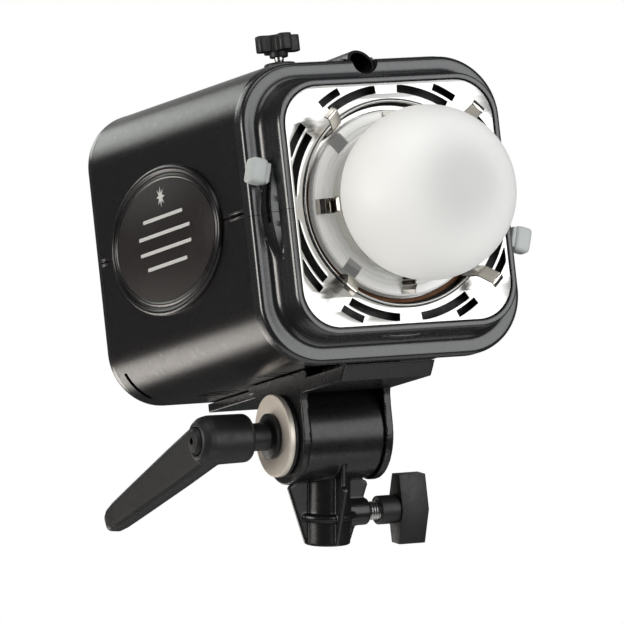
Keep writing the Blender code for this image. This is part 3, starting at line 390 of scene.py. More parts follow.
def rod(radius, start, end, axis="Y", at=(0, 0, 0), steps=64):
    """A plain cylinder from start to end along an axis."""
    return lathe([(0, start), (radius, start), (radius, end), (0, end)], axis, at, steps)


def bend(here, a, b, size, steps):
    """Points of a short arc at a corner, from a little way along a to a little way along b."""
    start, finish = here + a.normalized() * size, here + b.normalized() * size
    shares = (step / steps for step in range(steps + 1))
    return [tuple(start * (1 - t) ** 2 + here * 2 * t * (1 - t) + finish * t * t) for t in shares]


def eased(profile, reach=0.3, steps=3, closed=True):
    """The profile with its corners rounded by short arcs; corners on the axis stay sharp."""
    points = [Vector(p) for p in profile]
    out = []
    for i, here in enumerate(points):
        a, b = points[i - 1] - here, points[(i + 1) % len(points)] - here
        ends = here.x < 1e-6 or (not closed and i in (0, len(points) - 1))
        if ends or a.length < 1e-9 or b.length < 1e-9 or abs(a.normalized().cross(b.normalized())) < 0.2:
            out.append(tuple(here))
        else:
            out += bend(here, a, b, min(reach, a.length * 0.45, b.length * 0.45), steps)
    return out


# For each plane, the turn that lays a drawing in it and the way across it
PLANES = {
    "XY": (((1, 0, 0), (0, 1, 0), (0, 0, 1)), (0, 0, 1)),
    "XZ": (((1, 0, 0), (0, 0, -1), (0, 1, 0)), (0, 1, 0)),
    "YZ": (((0, 0, 1), (1, 0, 0), (0, 1, 0)), (1, 0, 0)),
}


def curve_bmesh(paths, cyclic, **settings):
    """What a curve's fill and bevel make, as a bmesh with its doubled points welded."""
    curve = bpy.data.curves.new("curve", "CURVE")
    for key, value in settings.items():
        setattr(curve, key, value)
    for path in paths:
        spline = curve.splines.new("POLY")
        spline.points.add(len(path) - 1)
        for point, place in zip(spline.points, path):
            point.co = (*place, 1)
        spline.use_cyclic_u = cyclic
    mesh = evaluated(placed("curve", curve))
    bm = bmesh.new()
    bm.from_mesh(mesh)
    bpy.data.meshes.remove(mesh)
    bmesh.ops.remove_doubles(bm, verts=bm.verts, dist=0.001)
    return bm


def flat(outlines, thickness, plane="XZ", at=0, bevel=0):
    """A flat piece with holes, its middle at `at` across its plane, and its edges rounded by bevel."""
    paths = [[(u, v, 0) for u, v in outline] for outline in outlines]
    bm = curve_bmesh(paths, True, dimensions="2D", fill_mode="BOTH", extrude=thickness / 2 - bevel,
                     bevel_depth=bevel, bevel_resolution=1, offset=-bevel)
    turn, way = PLANES[plane]
    matrix = Matrix.Translation(Vector(way) * at) @ Matrix(turn).to_4x4()
    bmesh.ops.transform(bm, matrix=matrix, verts=bm.verts)
    return mesh_of(bm)


def tube(points, radius, sides=16):
    """A round tube along points, with closed ends."""
    return mesh_of(curve_bmesh([points], False, dimensions="3D", bevel_depth=radius,
                               bevel_resolution=sides // 4, use_fill_caps=True))


def merged(meshes):
    """Several closed meshes as one mesh, left as separate shells."""
    bm = bmesh.new()
    for mesh in meshes:
        bm.from_mesh(mesh)
        bpy.data.meshes.remove(mesh)
    return mesh_of(bm, recalc=False)


def arc(radius, start, end, count, centre=(0, 0)):
    """Points on an arc, angles in degrees."""
    angles = (radians(start + (end - start) * i / (count - 1)) for i in range(count))
    return [(centre[0] + radius * cos(a), centre[1] + radius * sin(a)) for a in angles]


def circle(radius, count=96, centre=(0, 0)):
    return arc(radius, 0, 360 * (count - 1) / count, count, centre)


def ellipse(half_u, half_v, centre, count=144):
    return [(centre[0] + half_u * u, centre[1] + half_v * v) for u, v in circle(1, count)]


def rectangle(u0, v0, u1, v1):
    return [(u0, v0), (u1, v0), (u1, v1), (u0, v1)]


def rounded(half_u, half_v, corner, count=20, centre=(0, 0)):
    points = []
    for turn, (su, sv) in enumerate(((1, 1), (-1, 1), (-1, -1), (1, -1))):
        middle = (centre[0] + su * (half_u - corner), centre[1] + sv * (half_v - corner))
        points += arc(corner, turn * 90, (turn + 1) * 90, count, middle)
    return points


def loft(loops, closed=False):
    """A mesh through loops of points, capped at both ends or closed on itself."""
    bm = bmesh.new()
    rows = [[bm.verts.new(point) for point in loop] for loop in loops]
    pairs = list(zip(rows, rows[1:])) + ([(rows[-1], rows[0])] if closed else [])
    for first, second in pairs:
        for i, vert in enumerate(first):
            j = (i + 1) % len(first)
            bm.faces.new((vert, first[j], second[j], second[i]))
    if not closed:
        bm.faces.new(rows[0])
        bm.faces.new(rows[-1][::-1])
    return mesh_of(bm)


def strip(points, thickness):
    """The outline of a bent strip: its centre line offset to both sides."""
    points = [Vector(point) for point in points]
    ways = [(after - here).normalized() for here, after in zip(points, points[1:])]
    ways = [ways[0]] + ways + [ways[-1]]
    left, right = [], []
    for here, first, second in zip(points, ways, ways[1:]):
        normal = Vector((-(first + second).y, (first + second).x)).normalized()
        reach = thickness / 2 / max(normal.dot(Vector((-first.y, first.x))), 0.4)
        left.append(tuple(here + normal * reach))
        right.append(tuple(here - normal * reach))
    return left + right[::-1]


def round_axis(mesh, angle):
    """Turns a mesh round the lamp's axis, by degrees from the right towards the top."""
    mesh.transform(Matrix.Rotation(-radians(angle), 4, "Y"))
    return mesh


def radial(mesh, angle):
    """Turns a mesh drawn with (radius, distance in front) in XY to its place round the lamp's axis."""
    mesh.transform(Matrix.Scale(-1, 4, (0, 1, 0)))
    mesh.flip_normals()
    return round_axis(mesh, angle)


# Camera and lights

PHOTO_AZIMUTH, PHOTO_ELEVATION = -26.3, 6.5
PHOTO_DISTANCE, PHOTO_LENS = 4.3, 503
AIM_LEFT, AIM_DOWN = 34.2, 50.8  # where the view's centre lies from the flange's centre
HEAD_MIDDLE = Vector((0, 60, 0))
FLOOR_Z, FLOOR_HALF = -1.1, 0.9  # metres


def direction(azimuth, elevation):
    """The way to a point seen from the lamp, azimuth 0 being straight ahead of it."""
    a, e = radians(azimuth), radians(elevation)
    return Vector((sin(a) * cos(e), -cos(a) * cos(e), sin(e)))


def add_camera():
    back = direction(PHOTO_AZIMUTH, PHOTO_ELEVATION)
    right = Vector((0, 0, 1)).cross(back).normalized()
    flange = LAMP.translation
    data = bpy.data.cameras.new("camera")
    camera = placed("camera", data)
    camera.location = flange + back * PHOTO_DISTANCE
    aim = flange - right * AIM_LEFT * MM - back.cross(right) * AIM_DOWN * MM
    camera.rotation_euler = (aim - camera.location).to_track_quat("-Z", "Y").to_euler()
    data.lens = PHOTO_LENS
    data.sensor_width = 36
    data.clip_end = 50
    bpy.context.scene.camera = camera


def softbox(name, azimuth, elevation, distance, size, radiance, color=(1, 1, 1)):
    """An area light facing the head's middle from a direction."""
    way = direction(azimuth, elevation)
    data = bpy.data.lights.new(name, "AREA")
    data.shape = "RECTANGLE"
    data.size, data.size_y = size
    data.energy = radiance * pi * size[0] * size[1]
    data.color = color
    light = placed(name, data)
    light.location = LAMP @ HEAD_MIDDLE + way * distance
    light.rotation_euler = (-way).to_track_quat("-Z", "Y").to_euler()
    light.visible_camera = False


def add_world():
    """White where the camera looks past the object, and dim for what the object reflects."""
    world = bpy.data.worlds.new("studio")
    bpy.context.scene.world = world
    world.use_nodes = True
    world.node_tree.nodes.clear()
    output = node(world, "OutputWorld")
    mix = node(world, "MixShader")
    path = node(world, "LightPath")
    seen = node(world, "Background", {"Color": (1, 1, 1, 1), "Strength": 1})
    felt = node(world, "Background", {"Color": (0.96, 0.98, 1, 1), "Strength": 0.05})
    link(world, path.outputs["Is Camera Ray"], mix.inputs["Fac"])
    link(world, felt.outputs["Background"], mix.inputs[1])
    link(world, seen.outputs["Background"], mix.inputs[2])
    link(world, mix.outputs["Shader"], output.inputs["Surface"])


def add_floor():
    """A plain pale floor well below the head, as far down as a low stand would put it."""
    bm = bmesh.new()
    bmesh.ops.create_grid(bm, x_segments=1, y_segments=1, size=FLOOR_HALF)
    bmesh.ops.translate(bm, vec=(0, 0, FLOOR_Z), verts=bm.verts)
    floor = placed("floor", mesh_of(bm, recalc=False))
    pale = surface("pale_floor", ((0.9, 0.9, 0.89), (0.93, 0.93, 0.92)), (0.6, 0.75), patch=2, grain=40)
    floor.data.materials.append(pale)


def add_stage():
    add_camera()
    add_world()
    add_floor()
    softbox("key", 22, 15, 2.2, (2, 2), 2.7, (0.985, 0.993, 1))
    softbox("left", -100, 2, 2, (1, 0.9), 8, (1, 0.965, 0.92))
    softbox("overhead", -70, 66, 1.9, (1.3, 1.3), 1.3)
    softbox("front_high", 8, 74, 2, (1.5, 1), 1.2)
    softbox("rear_high", 188, 9.5, 2.3, (1.05, 0.5), 2.6, (0.97, 1, 0.96))
    softbox("rear_top", 160, 4, 2.3, (0.9, 0.6), 0.7, (0.97, 1, 0.96))
    softbox("rear_low", 200, -30, 1.5, (0.5, 0.45), 4.6, (1, 0.94, 0.88))
    softbox("low_front", 2, -62, 1.5, (1.3, 0.8), 1.8, (1, 0.985, 0.96))
    bpy.context.scene.view_settings.view_transform = "Standard"
    bpy.context.scene.view_settings.look = "None"


# Housing

BODY_CORNER, BODY_WALL = 28, 2.6
TUBE_SLOT_R = 6.9  # the umbrella tube's way through the housing and the bezel


def body_section(y):
    """Half height and middle of the housing's section, which rises a little towards the back."""
    along = (y - BODY_FRONT) / (FRAME_BACK - BODY_FRONT)
    return 73.5 + 1.5 * along, 2.5 + 1.5 * along


def half_wall(y, side):
    """The closed outline of one half shell's wall, with a small chamfer along the seam."""
    half, middle = body_section(y)
    seam = SEAM_Z - middle + side * 0.15

    def half_loop(inset, chamfer):
        w, h, corner = BODY_W - inset, half - inset, BODY_CORNER - inset
        right = arc(corner, 0, 90, 24, (w - corner, h - corner))
        left = arc(corner, 90, 180, 24, (corner - w, h - corner))
        start = [(w - chamfer, side * seam), (w, side * seam + chamfer)] if chamfer else [(w, side * seam)]
        return start + right + left + [(-u, v) for u, v in reversed(start)]

    outline = half_loop(0, 0.35) + half_loop(BODY_WALL, 0)[::-1]
    return [(u, y, middle + side * v) for u, v in outline]


def corner_vent(side):
    """A cutter for the slot round the lower corner, near the back."""
    centre_x, centre_z = side * (BODY_W - BODY_CORNER), -42.8
    loops = []
    for y, grow in ((177.3, 0), (178.2, 1.2), (179.9, 1.2), (180.8, 0)):
        outer = arc(BODY_CORNER + 4, -64 - grow, -26 + grow, 12)
        inner = arc(BODY_CORNER - 5, -26 + grow, -64 - grow, 12)
        loops.append([(centre_x + side * u, y, centre_z + v) for u, v in outer + inner])
    return loft(loops)


def make_housing():
    stations = [BODY_FRONT, BODY_FRONT + 0.3] + [BODY_FRONT + 20 * i for i in range(1, 9)] + [BODY_BACK]
    tunnel = lathe([(0, BODY_FRONT), (9.2, BODY_FRONT), (9.2, 151), (0, 152)], at=TUBE_AT)
    top = box((-12, 0, 76.9), (12, 170, 95))
    upper_cuts = [top, rod(TUBE_SLOT_R, -5, 150.5, at=TUBE_AT), rod(8.4, 60, 90, "Z", BOSS_AT)]
    lower_cuts = [corner_vent(1), corner_vent(-1)]
    for y in (67.5, 74.5, 81.5, 140.5, 147.5, 154.5):
        for x in (-30, 30):
            lower_cuts.append(flat([rounded(9, 1.5, 1.4, 8, (x, y))], 16, "XY", -68))
    for half, side, joined, cuts in (("upper", 1, [tunnel], upper_cuts), ("lower", -1, [], lower_cuts)):
        shell = loft([half_wall(y, side) for y in stations])
        put(half + "_shell", combine(shell, joined, cuts), PAINT, half + "_housing")


def make_seam_beads():
    """Two raised lines along the seam, from the badge to each end of the housing."""
    section = [(0, 0), (0, 0.25), (0.55, 0.5), (0.75, 0.82), (0.75, 1.1), (0.5, 1.4), (0, 1.65)]
    stretches = (("front", BODY_FRONT + 0.6, 30.5), ("back", 179, BODY_BACK - 0.3))
    for end_name, start, end in stretches:
        for side_name, side in SIDES:
            for level, lift in (("upper", 1), ("lower", -1)):
                base = SEAM_Z + lift * 0.35
                loops = []
                for y, proud in ((start, 0.35), (start + 0.8, 1), (end - 0.8, 1), (end, 0.35)):
                    loops.append([
                        (side * (BODY_W - 0.4 + (0.4 + u) * proud), y, base + lift * v) for u, v in section
                    ])
                put("seam_bead_%s_%s_%s" % (side_name, level, end_name), loft(loops), PAINT, angle=50)


# Side badges

BADGE_Y, BADGE_HALF_Y, BADGE_HALF_Z = 104.7, 66.2, 37.3


def make_badges():
    """An oval plate with a raised double ring, and a generic plain motif on its disc."""
    rings = (
        (0, -0.1), (0, 0.7), (-0.25, 1.3), (-0.8, 1.85), (-1.5, 2.1), (-2.3, 2.1), (-2.9, 1.8),
        (-3.3, 1.25), (-3.6, 0.95), (-4.4, 0.9), (-4.8, 1.05), (-5.2, 1.45), (-5.7, 1.6), (-6.2, 1.5),
        (-6.6, 1.2), (-7, 1),
    )
    centre, star_centre = (BADGE_Y, SEAM_Z), (BADGE_Y, SEAM_Z + 22)
    oval = ellipse(BADGE_HALF_Y - 7.1, BADGE_HALF_Z - 7.1, centre)
    marks = []
    for row, half in enumerate((24, 31, 31, 24)):
        marks.append(rounded(half, 0.9, 0.85, 6, (BADGE_Y, SEAM_Z + 12 - 8 * row)))
    points, hollows = circle(5.2, 8, star_centre), arc(2.1, 22.5, 337.5, 8, star_centre)
    marks.append([corner for pair in zip(points, hollows) for corner in pair])
    for side_name, side in SIDES:
        loops = []
        for reach, proud in rings:
            outline = ellipse(BADGE_HALF_Y + reach, BADGE_HALF_Z + reach, centre)
            loops.append([(side * (BODY_W + 0.3 + proud), y, z) for y, z in outline])
        put("badge_ring_" + side_name, loft(loops), PAINT, "side_badge_" + side_name, angle=60)
        put("badge_disc_" + side_name, flat([oval], 0.3, "YZ", side * (BODY_W + 1.5), 0.1), BADGE)
        motif = [flat([mark], 0.12, "YZ", side * (BODY_W + 1.72), 0.04) for mark in marks]
        put("badge_motif_" + side_name, merged(motif), BADGE_INK)


# Front bezel

RING_HOUSING_R, RING_FACE = 65.4, -11  # the round housing of the cam ring, and its front face
RIM_FOOT_Y = -9  # the section's row just behind that face


def rounded_reach(half_u, half_v, corner, angle):
    """Distance from the middle of a rounded rectangle to its edge, along an angle."""
    c, s = abs(cos(angle)), abs(sin(angle))
    cu, cv = half_u - corner, half_v - corner
    reach = min(half_u / max(c, 1e-9), half_v / max(s, 1e-9))
    if reach * c <= cu or reach * s <= cv:
        return reach
    along = cu * c + cv * s
    return along + sqrt(max(along**2 - cu**2 - cv**2 + corner**2, 0))


BEZEL_SECTION = (
    # inset across, inset up, y
    (0.6, 0.6, FLANGE_BACK), (0, 0, FLANGE_BACK - 0.6), (0, 0, 2.6), (0.12, 0.12, 1.7), (0.5, 0.5, 0.8),
    (1.1, 1.1, 0.25), (2, 2, 0), (3.6, 3.6, -0.05), (5.2, 5.4, -0.12), (6.4, 6.9, -0.3), (7.3, 7.9, -0.7),
    (8.1, 8.8, -1.4), (8.7, 9.5, -2.4), (9.15, 9.95, -3.7), (9.4, 10.2, -5.2), (9.6, 10.4, -9),
    (9.8, 10.6, -11.4), (10.1, 10.9, -14), (10.4, 11.15, -16.6), (10.6, 11.35, -18.2),
    (10.95, 11.65, -19.2), (11.5, 12.2, -19.8), (12.3, 13.05, -20), (13.2, 13.95, -19.95),
    (13.7, 14.45, -19.7), (13.8, 14.55, -19.2), (13.8, 14.55, -15.8), (12.8, 13.5, -15.4), (12.6, 13.4, -5),
    (9.2, 9.2, 2.2), (5.2, 5.2, 3.4), (5.2, 5.2, FLANGE_BACK),
)
OUTER_ROWS = 24  # the rows that follow are the bezel's inner side
# inset of the ring housing's edge, and distance behind its face
RING_EDGE = ((0, 0.62), (0.15, 0.48), (0.4, 0.38), (0.8, 0.3), (3.9, -0.3), (4.2, -0.34))


def bezel_loops(count=288):
    """Loops of the bezel; the round housing of the cam ring bulges where it is wider than the valley."""
    angles = [tau * i / count for i in range(count)]
    loops = []

    def add_loop(inset_u, inset_v, corner, y, least):
        half_u, half_v = FLANGE_W - inset_u, FLANGE_H - inset_v
        reaches = [max(rounded_reach(half_u, half_v, corner, a), least) for a in angles]
        loops.append([(r * cos(a), y, r * sin(a)) for r, a in zip(reaches, angles)])

    for index, (inset_u, inset_v, y) in enumerate(BEZEL_SECTION):
        corner = max(31 - 0.85 * inset_u, 19)
        outside = index < OUTER_ROWS
        bulges = outside and RING_FACE <= y <= 3
        add_loop(inset_u, inset_v, corner, y, RING_HOUSING_R if bulges else 0)
        if outside and y == RIM_FOOT_Y:
            for inset, behind in RING_EDGE:
                add_loop(9.85, 10.65, corner, RING_FACE + behind, RING_HOUSING_R - inset)
    return loops


def make_bezel():
    cavity = rod(63.9, -10.1, -5.4, steps=128)
    inside = flat([rounded(PLATE_W + 1.4, PLATE_H + 1.4, 19, 24)], 21, "XZ", -5.2)
    mouth = rod(TUBE_SLOT_R, -14, 15, at=TUBE_AT)
    windows = [round_axis(box((-70, -9.9, -5), (-58, -5.8, 25.5), 0.5), turn) for turn in (0, 180)]
    body = combine(loft(bezel_loops(), closed=True), cut=[cavity, inside, mouth] + windows)
    for half, turn in (("upper", 0), ("lower", 180)):
        keep = round_axis(box((-90, -40, 0.12), (90, 30, 90)), turn)
        put("bezel_" + half, combine(body.copy(), kept=[keep]), BEZEL, "front_bezel_" + half, angle=32)
    bpy.data.meshes.remove(body)


# Reflector plate, lip ring, inner reflector

def plate_slots():
    """The plate's arc slots; an outer edge stays inside the plate's straight side."""
    slots = []
    for flip, half, last in ((False, PLATE_W, 39), (True, PLATE_H, 34)):
        pair = []
        for inner, outer, start, end in ((55, 59, 6, last), (60.4, 64, 24.5, last + 2)):
            steps = [radians(start + (end - start) * i / 14) for i in range(15)]
            edge = [(inner, a) for a in steps]
            edge += [(min(outer, (half - 1.4) / cos(a)), a) for a in reversed(steps)]
            points = [(r * cos(a), r * sin(a)) for r, a in edge]
            pair.append([(v, u) for u, v in points] if flip else points)
        for su, sv in ((1, 1), (1, -1), (-1, 1), (-1, -1)):
            slots += [[(su * u, sv * v) for u, v in points] for points in pair]
    return slots


def make_reflector():
    outlines = [rounded(PLATE_W, PLATE_H, 19.5, 24), circle(51.9, 128)] + plate_slots()
    plate = flat(outlines, PLATE_BACK - PLATE_FRONT, "XZ", (PLATE_FRONT + PLATE_BACK) / 2, 0.12)
    put("reflector_sheet", plate, SHEET, "reflector_plate", angle=30)
    lip = [
        (50.2, -20.2), (50.8, -20.6), (51.5, -20.2), (51.5, -17.2), (54.5, -17.2), (54.5, -16.2),
        (50.2, -16.2),
    ]
    put("lip_ring_bright", lathe(eased(lip), steps=160), SHEET, "lip_ring")
    floor = [
        (33.6, -19.3), (37.6, -19.3), (38, -19), (38.6, -19), (39, -19.3), (41, -19.3), (41.4, -19.7),
        (45.2, -19.7), (46.2, -18.9), (46.2, -16.6), (45, -16.6), (45, -18.3), (35.6, -18.3), (35.6, -3.9),
        (33.6, -3.9),
    ]
    notches = [round_axis(box((38.6, -24, -4.15), (50, -15, 4.15)), angle) for angle in CLAW_ANGLES.values()]
    put("inner_floor", combine(lathe(eased(floor), steps=160), cut=notches), WHITE_FLOOR_PAINTED_GLOW, "inner_reflector")
    drum = [(46.9, -15.4), (49, -15.4), (49, -14.9), (47.5, -14.9), (47.5, -10.6), (46.9, -10.6)]
    # the copper ring, with a painted highlight towards its top
    put("copper_gap_ring", lathe(eased(drum, 0.1), steps=128), COPPER_PAINTED_HIGHLIGHT)


def make_chassis():
    """A dark web behind the plate, painted shade seen through its slots, and the sheet that carries the
    insides.
    """
    web = [rounded(PLATE_W + 0.8, PLATE_H + 0.8, 19, 16), circle(47.6, 96)]
    # painted shade: a near-black sheet that makes the plate's slots look dark
    put("painted_shade_web", flat(web, 0.6, "XZ", -10.6, 0.1), PAINTED_SHADE_DARK)
    sheet = [rounded(PLATE_W + 0.9, PLATE_H + 0.9, 19, 16), circle(21, 64)]
    sheet += [circle(2, 24, (x, z)) for x in (-44, 44) for z in (-48, 48)]
    put("chassis_sheet", flat(sheet, 2, "XZ", -2.5, 0.15), ALUMINIUM, "front_chassis_plate")


# Glass

FLASH_R, FLASH_Y = 26, -40  # the flash tube's ring and its distance from the flange plane
WIRE_R, WIRE_WINDS, WIRE_STEPS = 4.3, 22, 239


def make_glass():
    """The frosted globe, its clear neck, and what is inside it."""
    inner = DOME_R - GLASS

    def cap(radius, neck_radius, count=48):
        last = pi - asin(neck_radius / radius)
        points = [
            (radius * sin(last * i / count), DOME_Y - radius * cos(last * i / count))
            for i in range(count + 1)
        ]
        return [(0, points[0][1])] + points[1:]

    outside, inside = cap(DOME_R, NECK_R), cap(inner, NECK_R - GLASS)
    split = outside[-1][1] + 0.6
    globe = outside + [(NECK_R - 0.5, split), (NECK_R - GLASS + 0.4, split)] + inside[::-1]
    put("frosted_globe", lathe(globe, steps=128), FROSTED, "glass_dome", angle=60)
    neck = [
        (NECK_R - 0.1, split + 0.1), (NECK_R, split + 1.2), (NECK_R, -20.6), (NECK_R - 0.8, -19.8),
        (NECK_R - GLASS + 0.8, -19.8), (NECK_R - GLASS, -20.6), (NECK_R - GLASS, split + 0.1),
    ]
    put("clear_neck", lathe(eased(neck), steps=128), CLEAR, angle=60)

    ring = [(FLASH_R * u, FLASH_Y, FLASH_R * v) for u, v in arc(1, -78, 258, 64)]
    legs = [[(x, FLASH_Y + 4, z), (x, -14.2, z)] for x, y, z in (ring[0], ring[-1])]
    put("flash_tube_glass", tube(legs[0][::-1] + ring + legs[1], 4), CLEAR, "flash_tube")
    coil = []
    for step in range(WIRE_STEPS + 1):
        turn = radians(-70 + 320 * step / WIRE_STEPS)
        wave = tau * WIRE_WINDS * step / WIRE_STEPS
        reach = FLASH_R + WIRE_R * cos(wave)
        coil.append((reach * cos(turn), FLASH_Y + WIRE_R * sin(wave), reach * sin(turn)))
    put("trigger_wire", tube(coil, 0.25, sides=8), STEEL)
    base = [
        (12, -22), (17, -22), (18, -13.8), (33, -13.8), (33, -5), (18.8, -5), (18.8, 16), (8, 22), (0, 22),
        (0, 2), (12, 2),
    ]
    put("ceramic_base", lathe(eased(base, 0.5), steps=96), CERAMIC, "lamp_socket")
    bulb = [
        (0, -72), (2.8, -71.7), (5, -70.5), (7, -68.3), (8.2, -65.5), (9, -61), (9, -34), (11.2, -30.6),
        (11.4, -28), (11.4, 1), (0, 1),
    ]
    put("modelling_bulb", lathe(bulb), CLEAR, "modelling_lamp", angle=60)


# Claws, clips and the cam ring

def curved(points, reach=0.9):
    """A path whose inner corners are rounded."""
    out = [points[0]]
    for before, here, after in zip(points, points[1:], points[2:]):
        a, b = Vector(before) - Vector(here), Vector(after) - Vector(here)
        out += bend(Vector(here), a, b, min(reach, a.length * 0.48, b.length * 0.48), 5)
    return out + [points[-1]]


def make_claws():
    """Spring claws: foot behind the plate, leg through the ring gap, and a hook turned outwards."""
    line = [
        (60.2, 13.8), (49.3, 13.8), (48.9, 14.6), (49.3, 20), (50.9, 30.5), (51.9, 32.6), (57.6, 38),
        (58.8, 38.2), (60.4, 36.6),
    ]
    for name, angle in CLAW_ANGLES.items():
        blade = flat([strip(curved(line), 1.1)], 6.8, "XY", 0, 0.18)
        pin = rod(1.6, 6.9, 13.4, "Y", (57.5, 0, 0), 24)
        put("spring_" + name, radial(merged([blade, pin]), angle), NICKEL, name, name, angle=40)


def make_clips():
    """Corrugated spring clips that hold the glass neck."""
    line = [
        (45.2, 20.4), (43, 20.4), (41.2, 22.7), (39.9, 20.6), (38.6, 23.4), (37.7, 21.6), (36.9, 24.5),
        (37.9, 27.4), (36.9, 29.6),
    ]
    for place, angle in (("right", 0), ("top", 90), ("left", 180), ("bottom", 270)):
        blade = flat([strip(curved(line, 0.6), 0.5)], 7.5, "XY", 0, 0.1)
        put("corrugated_clip_" + place, radial(blade, angle), CLIP, "dome_clip_" + place, angle=40)


def make_caps():
    """Soft caps on the cam ring's two levers, each with a collar at its root."""
    for side, angle in (("left", 163.5), ("right", 343.5)):
        cage = placed("cage", box((68.4, -13.1, -6.5), (77.5, -3.7, 6.5)))
        bevel = cage.modifiers.new("bevel", "BEVEL")
        bevel.width, bevel.segments = 2.3, 4
        subdivide = cage.modifiers.new("smooth", "SUBSURF")
        subdivide.levels = subdivide.render_levels = 1
        collar = box((66.7, -12.2, -5), (69, -4.6, 5.4), 0.9)
        whole = round_axis(merged([evaluated(cage), collar]), angle)
        put("soft_cap_" + side, whole, CAP, "lever_cap_" + side, "cam_ring")


# Umbrella holder

PIPE_R, PIPE_BORE_R = 6.6, 5.1


def make_umbrella_holder():
    """The tube with its slanted front and lock boss, and the lock's screw and four-lobed knob."""
    pipe = [(PIPE_BORE_R, 7), (6.35, 0.7), (6.5, 0.6), (PIPE_R, 0.8)]
    pipe += eased([(PIPE_R, 150), (PIPE_BORE_R, 150)], 0.25, closed=False)
    boss = lathe(eased([(0, 78.4), (8, 78.4), (8, 88.6), (0, 88.6)], 0.9), "Z", BOSS_AT)
    hole = rod(2.8, 70, 90, "Z", BOSS_AT, 48)
    bore = rod(PIPE_BORE_R, -5, 160, at=TUBE_AT)
    mouth = flat([[(-10, 62), (-3.4, 62), (16.5, 90), (-10, 90)]], 20, "YZ", 0)
    mesh = combine(lathe(pipe, at=TUBE_AT), [boss], [hole, bore, mouth])
    put("umbrella_pipe", mesh, PAINT, "umbrella_tube")
    ridges = [(2.4, 101), (2.4, 90.6)]
    for turn in range(13):
        level = 90.2 - 0.75 * turn
        ridges += [(2.4, level), (2.05, level - 0.38)]
    screw = lathe([(0, 101.2)] + ridges + [(1.5, 79.9), (0, 79.8)], "Z", BOSS_AT, 48)
    put("umbrella_screw", screw, STEEL, "umbrella_stud", "umbrella_lock", angle=20)
    outline = []
    for step in range(160):
        angle = tau * step / 160
        reach = 9 + 2.6 * tanh(2.2 * cos(4 * angle)) / tanh(2.2)
        outline.append((reach * cos(angle), BOSS_AT[1] + reach * sin(angle)))
    lobes = flat([outline], 8.4, "XY", 98.6, 0.5)
    hub = lathe(eased([(2.6, 91.6), (4.6, 91.6), (5, 94.8), (2.6, 94.8)]), "Z", BOSS_AT, 48)
    put("umbrella_grip", merged([lobes, hub]), TEXTURED, "umbrella_knob", "umbrella_lock")


# Back

BUTTONS = {
    "button_up": (17, 46), "button_modelling": (33, 46), "button_down": (17, 28), "button_test": (33, 28),
}


SENSOR_AT, JACK_AT = (26, 62), (44, -4)
INLET_LOW, INLET_HIGH = (-38.2, -52.2), (-9.8, -31.8)
SCREW_PLACES = ((-52, 62), (52, 58), (-53, -56), (53, -56))


def make_back():
    half, middle = body_section(FRAME_BACK)
    section = (
        (0, 188), (0, 191.2), (0.15, 192.3), (0.6, 193.4), (1.3, 194.4), (2.2, 195.2), (3.3, 195.8),
        (4.6, 196), (6.6, 196), (7.1, 195.7), (7.2, 195.2), (7.2, 188),
    )
    loops = []
    for inset, y in section:
        outline = rounded(BODY_W - inset, half - inset, BODY_CORNER - 0.9 * inset, 24, (0, middle))
        loops.append([(u, y, v) for u, v in outline])
    put("back_rim", loft(loops, closed=True), BEZEL, "back_frame")
    panel = [rounded(BODY_W - 7.6, half - 7.6, 21, 20, (0, middle)), rounded(23.4, 15.4, 0.5, 4, (-16, 36))]
    panel += [rounded(6.2, 4.2, 1.2, 6, place) for place in BUTTONS.values()]
    panel += [circle(5.2, 40, SENSOR_AT), circle(3.7, 32, JACK_AT)]
    panel += [rectangle(*INLET_LOW, *INLET_HIGH), rectangle(2.9, -49.9, 13.1, -34.1)]
    panel += [rounded(2, 15.5, 1.9, 8, (-37 + 9 * column, -8.5)) for column in range(7)]
    put("rear_panel", flat(panel, 2.4, "XZ", 192, 0.2), TEXTURED, "back_panel")
    put("display_glass", box((-39.1, 189.5, 20.9), (7.1, 193.4, 51.1), 0.5), WINDOW, "display_window")
    marks = []
    for z in (44, 36, 28):
        for x in (-32, -21, -10, 1):
            marks.append(box((x - 3.6, 193.42, z - 0.7), (x + 3.6, 193.52, z + 0.7)))
    put("display_segments", merged(marks), SCREEN)
    for name, (x, z) in BUTTONS.items():
        key = box((x - 5.8, 184, z - 3.8), (x + 5.8, 195.3, z + 3.8), 1.1, 4)
        put(name.replace("button", "key"), key, CAP, name, name)
    screw_head = eased([(0, 194.6), (2.4, 194.5), (3.2, 193.9), (3.2, 193.3), (0, 193.3)], 0.2)
    for x, z in SCREW_PLACES:
        cross = [box((x - u, 193.9, z - v), (x + u, 196, z + v)) for u, v in ((1.6, 0.3), (0.3, 1.6))]
        screw = combine(lathe(screw_head, at=(x, 0, z), steps=32), cut=cross)
        put("rear_screw_%d_%d" % (x > 0, z > 0), screw, STEEL)
    opening = box((INLET_LOW[0], 190, INLET_LOW[1]), (INLET_HIGH[0], 197, INLET_HIGH[1]))
    surround = box((-40.6, 193.3, -54.6), (-7.4, 194.6, -29.4), 0.6)
    put("inlet_surround", combine(surround, cut=[opening]), DARK)
    sensor = (SENSOR_AT[0], 0, SENSOR_AT[1])
    lens = [(0, 197.9), (1.6, 197.7), (3.2, 196.9), (4.3, 195.6), (4.9, 193.4), (4.9, 186), (0, 186)]
    put("sensor_eye", lathe(eased(lens), at=sensor, steps=48), SENSOR, "slave_sensor")
    collar = eased([(5.3, 193.3), (6.6, 193.3), (6.6, 194.4), (5.3, 194.8)], 0.2)
    put("sensor_collar", lathe(collar, at=sensor, steps=48), DARK)
    nut = [circle(6, 6, JACK_AT), circle(3.8, 32, JACK_AT)]
    put("jack_nut", flat(nut, 1.4, "XZ", 194.1, 0.2), STEEL)


# Bracket and adapter

